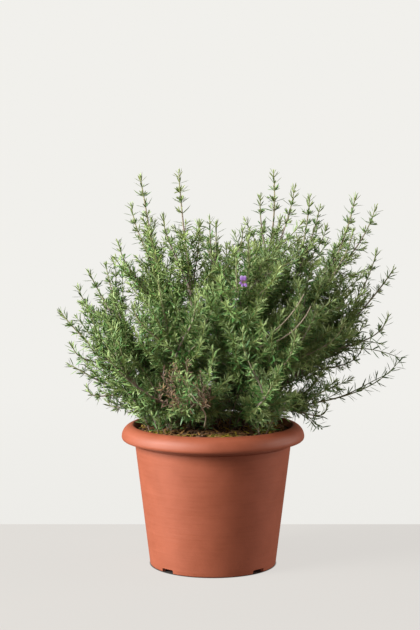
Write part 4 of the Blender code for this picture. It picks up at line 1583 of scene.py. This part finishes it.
class ROSEMARY_OT_flower(bpy.types.Operator):
    """The flower: a small calyx, and a corolla with a two-lobed upper and a three-lobed lower lip"""

    bl_idname = "rosemary.flower"
    bl_label = "Flower"

    def execute(self, context):
        look = context.scene.rosemary_flower
        low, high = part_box("flower_corolla")
        calyx_low, calyx_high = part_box("flower_calyx")
        front = np.array((low + high) / 2)
        back = np.array((calyx_low + calyx_high) / 2)
        facing = unit(front - back)
        self.calyx(back, facing)
        self.corolla(look, front, facing)
        return {"FINISHED"}

    def calyx(self, back, facing):
        start_piece()
        bpy.ops.mesh.primitive_cylinder_add(
            vertices=20, radius=CALYX_RADIUS, depth=CALYX_LENGTH, end_fill_type="TRIFAN"
        )
        cup = bpy.context.object
        bpy.ops.object.mode_set(mode="EDIT")
        cut_rings(list(CALYX_WIDTHS)[1:-1])
        for level, width in CALYX_WIDTHS.items():
            select_where(cup, lambda at: abs(at.z - level) < 1e-5)
            bpy.ops.transform.resize(value=(width, width, 1), center_override=(0, 0, level))
        bpy.ops.object.mode_set(mode="OBJECT")
        cup.rotation_mode = "QUATERNION"
        cup.rotation_quaternion = Vector(facing).to_track_quat("Z", "Y")
        cup.location = Vector(back)
        cup = settle("calyx_cup", 50)
        roughen(cup, 0.001, 0.0005)
        seat(cup, calyx_finish(), "calyx", "flower_calyx")

    def corolla(self, look, front, facing):
        """Five lobes: two held up and close, three spread below."""
        start_piece()
        bpy.ops.mesh.primitive_grid_add(x_subdivisions=10, y_subdivisions=6, size=1)
        petal = bpy.context.object
        bpy.ops.object.mode_set(mode="OBJECT")
        for vertex in petal.data.vertices:
            along = vertex.co.x + 0.5
            half = 0.09 + 0.25 * math.sin(math.pi * min(1.0, 0.12 + 0.86 * along)) ** 0.8
            notch = 0.10 * (1 - abs(vertex.co.y) * 2) * max(0.0, along - 0.85) / 0.15
            vertex.co.y *= 2 * half
            vertex.co.x = along - notch
            vertex.co.z = 0.30 * along - 0.42 * along**2 - 0.5 * vertex.co.y**2
        thick = petal.modifiers.new("thickness", "SOLIDIFY")
        thick.thickness = 0.06
        bpy.ops.object.modifier_apply(modifier=thick.name)
        petal = settle("petal", 50)
        points = np.array([v.co for v in petal.data.vertices])
        pattern = pattern_from(petal, reach=points[:, 0])
        up = unit(np.array((0, 0, 1.0)) - facing * facing[2])
        beside_it = np.cross(up, facing)
        spots, axes, scales = [], [], []
        for angle, size in PETALS:
            turn = math.radians(angle)
            out = beside_it * math.cos(turn) + up * math.sin(turn)
            ahead = unit(out * 0.93 + facing * 0.25)
            across = np.cross(facing, ahead)
            spots.append(front - facing * 0.0016 + out * 0.0009)
            axes.append(np.stack([ahead, across, np.cross(ahead, across)]))
            scales.append(np.full(3, look.petal_length * size))
        marks = {"tone": np.linspace(0.2, 0.8, 5)}
        places = (np.array(spots), np.array(axes), np.array(scales))
        corolla = laid_out("corolla_petals", pattern, *places, marks)
        seat(corolla, petal_finish(look), "petal", "flower_corolla")


WALL_LINE = 0.207  # where the wall meets the floor behind the pot
WALL_FOOT_SHADE = 0.965
WALL_EVEN_FROM = 1.4
FLOOR_GLOW = 0.872
FLOOR_PAINT = (0.074, 0.072, 0.069)
FLOOR_BOUNCE = (0.15, 0.118, 0.098)
CAMERA_LENS = 93.0
CAMERA_PLACE = (-0.0036, -1.94, 0.486)
CAMERA_PITCH = 5.43  # degrees below level
UNDER_POT_SHADE = (0.003, 0.002, 0.002)
AMBIENT_COLOUR = (1.0, 0.84, 0.74, 1.0)
LIGHT_AIM = Vector((0.01, 0, 0.24))
# Each light: its size, its place and its colour
LIGHTS = {
    "key_light": (1.25, Vector((-2.30, -1.36, 1.55)), (1.0, 0.99, 0.96)),
    "side_light": (1.7, Vector((-2.55, -0.50, 0.62)), (1.0, 0.99, 0.96)),
    "fill_light": (1.4, Vector((2.6, 0.3, 0.8)), (1.0, 0.87, 0.79)),
}


class ROSEMARY_OT_stage(bpy.types.Operator):
    """The stage: pale floor and wall tone, soft light from the left, and the camera"""

    bl_idname = "rosemary.stage"
    bl_label = "Stage"

    def execute(self, context):
        look = context.scene.rosemary_stage
        self.floor(look)
        self.world(look)
        powers = (look.key_power, look.side_power, look.fill_power)
        for power, (name, parts) in zip(powers, LIGHTS.items()):
            self.light(name, power, *parts)
        self.camera()
        context.scene.view_settings.view_transform = "Standard"
        return {"FINISHED"}

    def floor(self, look):
        """A wide floor; past the line where the wall would stand it takes the wall's tone, with painted
        shade darkening it towards its foot, and under the pot's foot the floor's glow is painted nearly
        black as shade.
        """
        start_piece()
        bpy.ops.mesh.primitive_grid_add(x_subdivisions=2, y_subdivisions=2, size=60)
        floor = settle("floor")
        finish, tree, shader = new_finish("floor", 0.9)
        depth = tree.nodes.new("ShaderNodeSeparateXYZ")
        tree.links.new(place_of(tree), depth.inputs["Vector"])
        beyond = graded(tree, depth.outputs["Y"], WALL_LINE - 0.0006, WALL_LINE + 0.0006)
        # painted shade: under the pot's foot the floor's glow drops nearly to black, fading over the
        # foot's edge
        pot_edge = (WALL_FOOT_RADIUS - 0.0006, WALL_FOOT_RADIUS + 0.0012)
        shade_mask_under_pot = graded(tree, self.reach_of(tree), *pot_edge)
        base = mixed(tree, beyond, FLOOR_PAINT, (0, 0, 0))
        # painted shade: the wall's tone darkens towards the line where it meets the floor, evening out
        # further back
        low_wall = tuple(c * WALL_FOOT_SHADE for c in look.wall_colour)
        rising = graded(tree, depth.outputs["Y"], WALL_LINE, WALL_EVEN_FROM)
        wall = mixed(tree, rising, low_wall, look.wall_colour)
        glow = mixed(tree, beyond, tuple(c * FLOOR_GLOW for c in look.floor_colour), wall)
        glow = mixed(tree, shade_mask_under_pot, UNDER_POT_SHADE, glow)
        ray = tree.nodes.new("ShaderNodeLightPath")
        glow = mixed(tree, ray.outputs["Is Camera Ray"], FLOOR_BOUNCE, glow)
        tree.links.new(base, shader.inputs["Base Color"])
        tree.links.new(glow, shader.inputs["Emission Color"])
        shader.inputs["Emission Strength"].default_value = 1.0
        shader.inputs["Specular IOR Level"].default_value = 0.0
        dress(floor, finish)

    def reach_of(self, tree):
        """The distance from the pot's axis, on the floor."""
        level = tree.nodes.new("ShaderNodeVectorMath")
        level.operation = "LENGTH"
        tree.links.new(place_of(tree, (1, 1, 0)), level.inputs[0])
        return level.outputs["Value"]

    def world(self, look):
        """The wall's tone to the eye, and a dimmer light on the plant."""
        world = bpy.data.worlds.new("studio")
        bpy.context.scene.world = world
        world.use_nodes = True
        tree = world.node_tree
        seen = tree.nodes["Background"]
        seen.inputs["Color"].default_value = (*look.wall_colour, 1.0)
        lit = tree.nodes.new("ShaderNodeBackground")
        lit.inputs["Color"].default_value = AMBIENT_COLOUR
        lit.inputs["Strength"].default_value = look.ambient
        ray = tree.nodes.new("ShaderNodeLightPath")
        join = tree.nodes.new("ShaderNodeMixShader")
        tree.links.new(ray.outputs["Is Camera Ray"], join.inputs["Fac"])
        tree.links.new(lit.outputs["Background"], join.inputs[1])
        tree.links.new(seen.outputs["Background"], join.inputs[2])
        tree.links.new(join.outputs["Shader"], tree.nodes["World Output"].inputs["Surface"])

    def light(self, name, power, size, place, colour):
        lamp = bpy.data.lights.new(name, "AREA")
        lamp.energy = power
        lamp.size = size
        lamp.color = colour
        made = put_in_scene(name, lamp)
        made.location = place
        made.rotation_euler = (LIGHT_AIM - place).to_track_quat("-Z", "Y").to_euler()

    def camera(self):
        lens = bpy.data.cameras.new("camera")
        lens.lens = CAMERA_LENS
        made = put_in_scene("camera", lens)
        made.location = CAMERA_PLACE
        made.rotation_euler = (math.radians(90 - CAMERA_PITCH), 0, 0)
        bpy.context.scene.camera = made


class ROSEMARY_PT_panel(bpy.types.Panel):
    """Lists the pieces and what can be changed about them"""

    bl_idname = "ROSEMARY_PT_panel"
    bl_label = "Potted rosemary"
    bl_space_type = "VIEW_3D"
    bl_region_type = "UI"
    bl_category = "Rosemary"

    def draw(self, context):
        for heading_text, look, steps in PANEL_ROWS:
            box = self.layout.box()
            box.label(text=heading_text)
            settings = getattr(context.scene, look)
            for name in settings.__annotations__:
                box.prop(settings, name)
            for step in steps:
                box.operator(step.bl_idname)


PANEL_ROWS = [
    ("Pot", "rosemary_pot", [ROSEMARY_OT_pot]),
    ("Mix and moss", "rosemary_mix", [ROSEMARY_OT_potting_mix, ROSEMARY_OT_moss, ROSEMARY_OT_litter]),
    ("Wood", "rosemary_wood", [ROSEMARY_OT_stocks, ROSEMARY_OT_stems]),
    ("Leaves", "rosemary_leaf", [ROSEMARY_OT_leaves]),
    ("Flower", "rosemary_flower", [ROSEMARY_OT_flower]),
    ("Stage", "rosemary_stage", [ROSEMARY_OT_stage]),
]
LOOKS = {
    "rosemary_pot": RosemaryPotLook,
    "rosemary_mix": RosemaryMixLook,
    "rosemary_wood": RosemaryWoodLook,
    "rosemary_leaf": RosemaryLeafLook,
    "rosemary_flower": RosemaryFlowerLook,
    "rosemary_stage": RosemaryStageLook,
}
STEPS = [step for _, _, steps in PANEL_ROWS for step in steps]


def register():
    for group in LOOKS.values():
        bpy.utils.register_class(group)
    for name, group in LOOKS.items():
        setattr(bpy.types.Scene, name, PointerProperty(type=group))
    for step in STEPS:
        bpy.utils.register_class(step)
    bpy.utils.register_class(ROSEMARY_PT_panel)


def unregister():
    bpy.utils.unregister_class(ROSEMARY_PT_panel)
    for step in reversed(STEPS):
        bpy.utils.unregister_class(step)
    for name, group in LOOKS.items():
        delattr(bpy.types.Scene, name)
        bpy.utils.unregister_class(group)


def main():
    register()
    for step in STEPS:
        family, name = step.bl_idname.split(".")
        getattr(getattr(bpy.ops, family), name)()


if __name__ == "__main__":
    main()
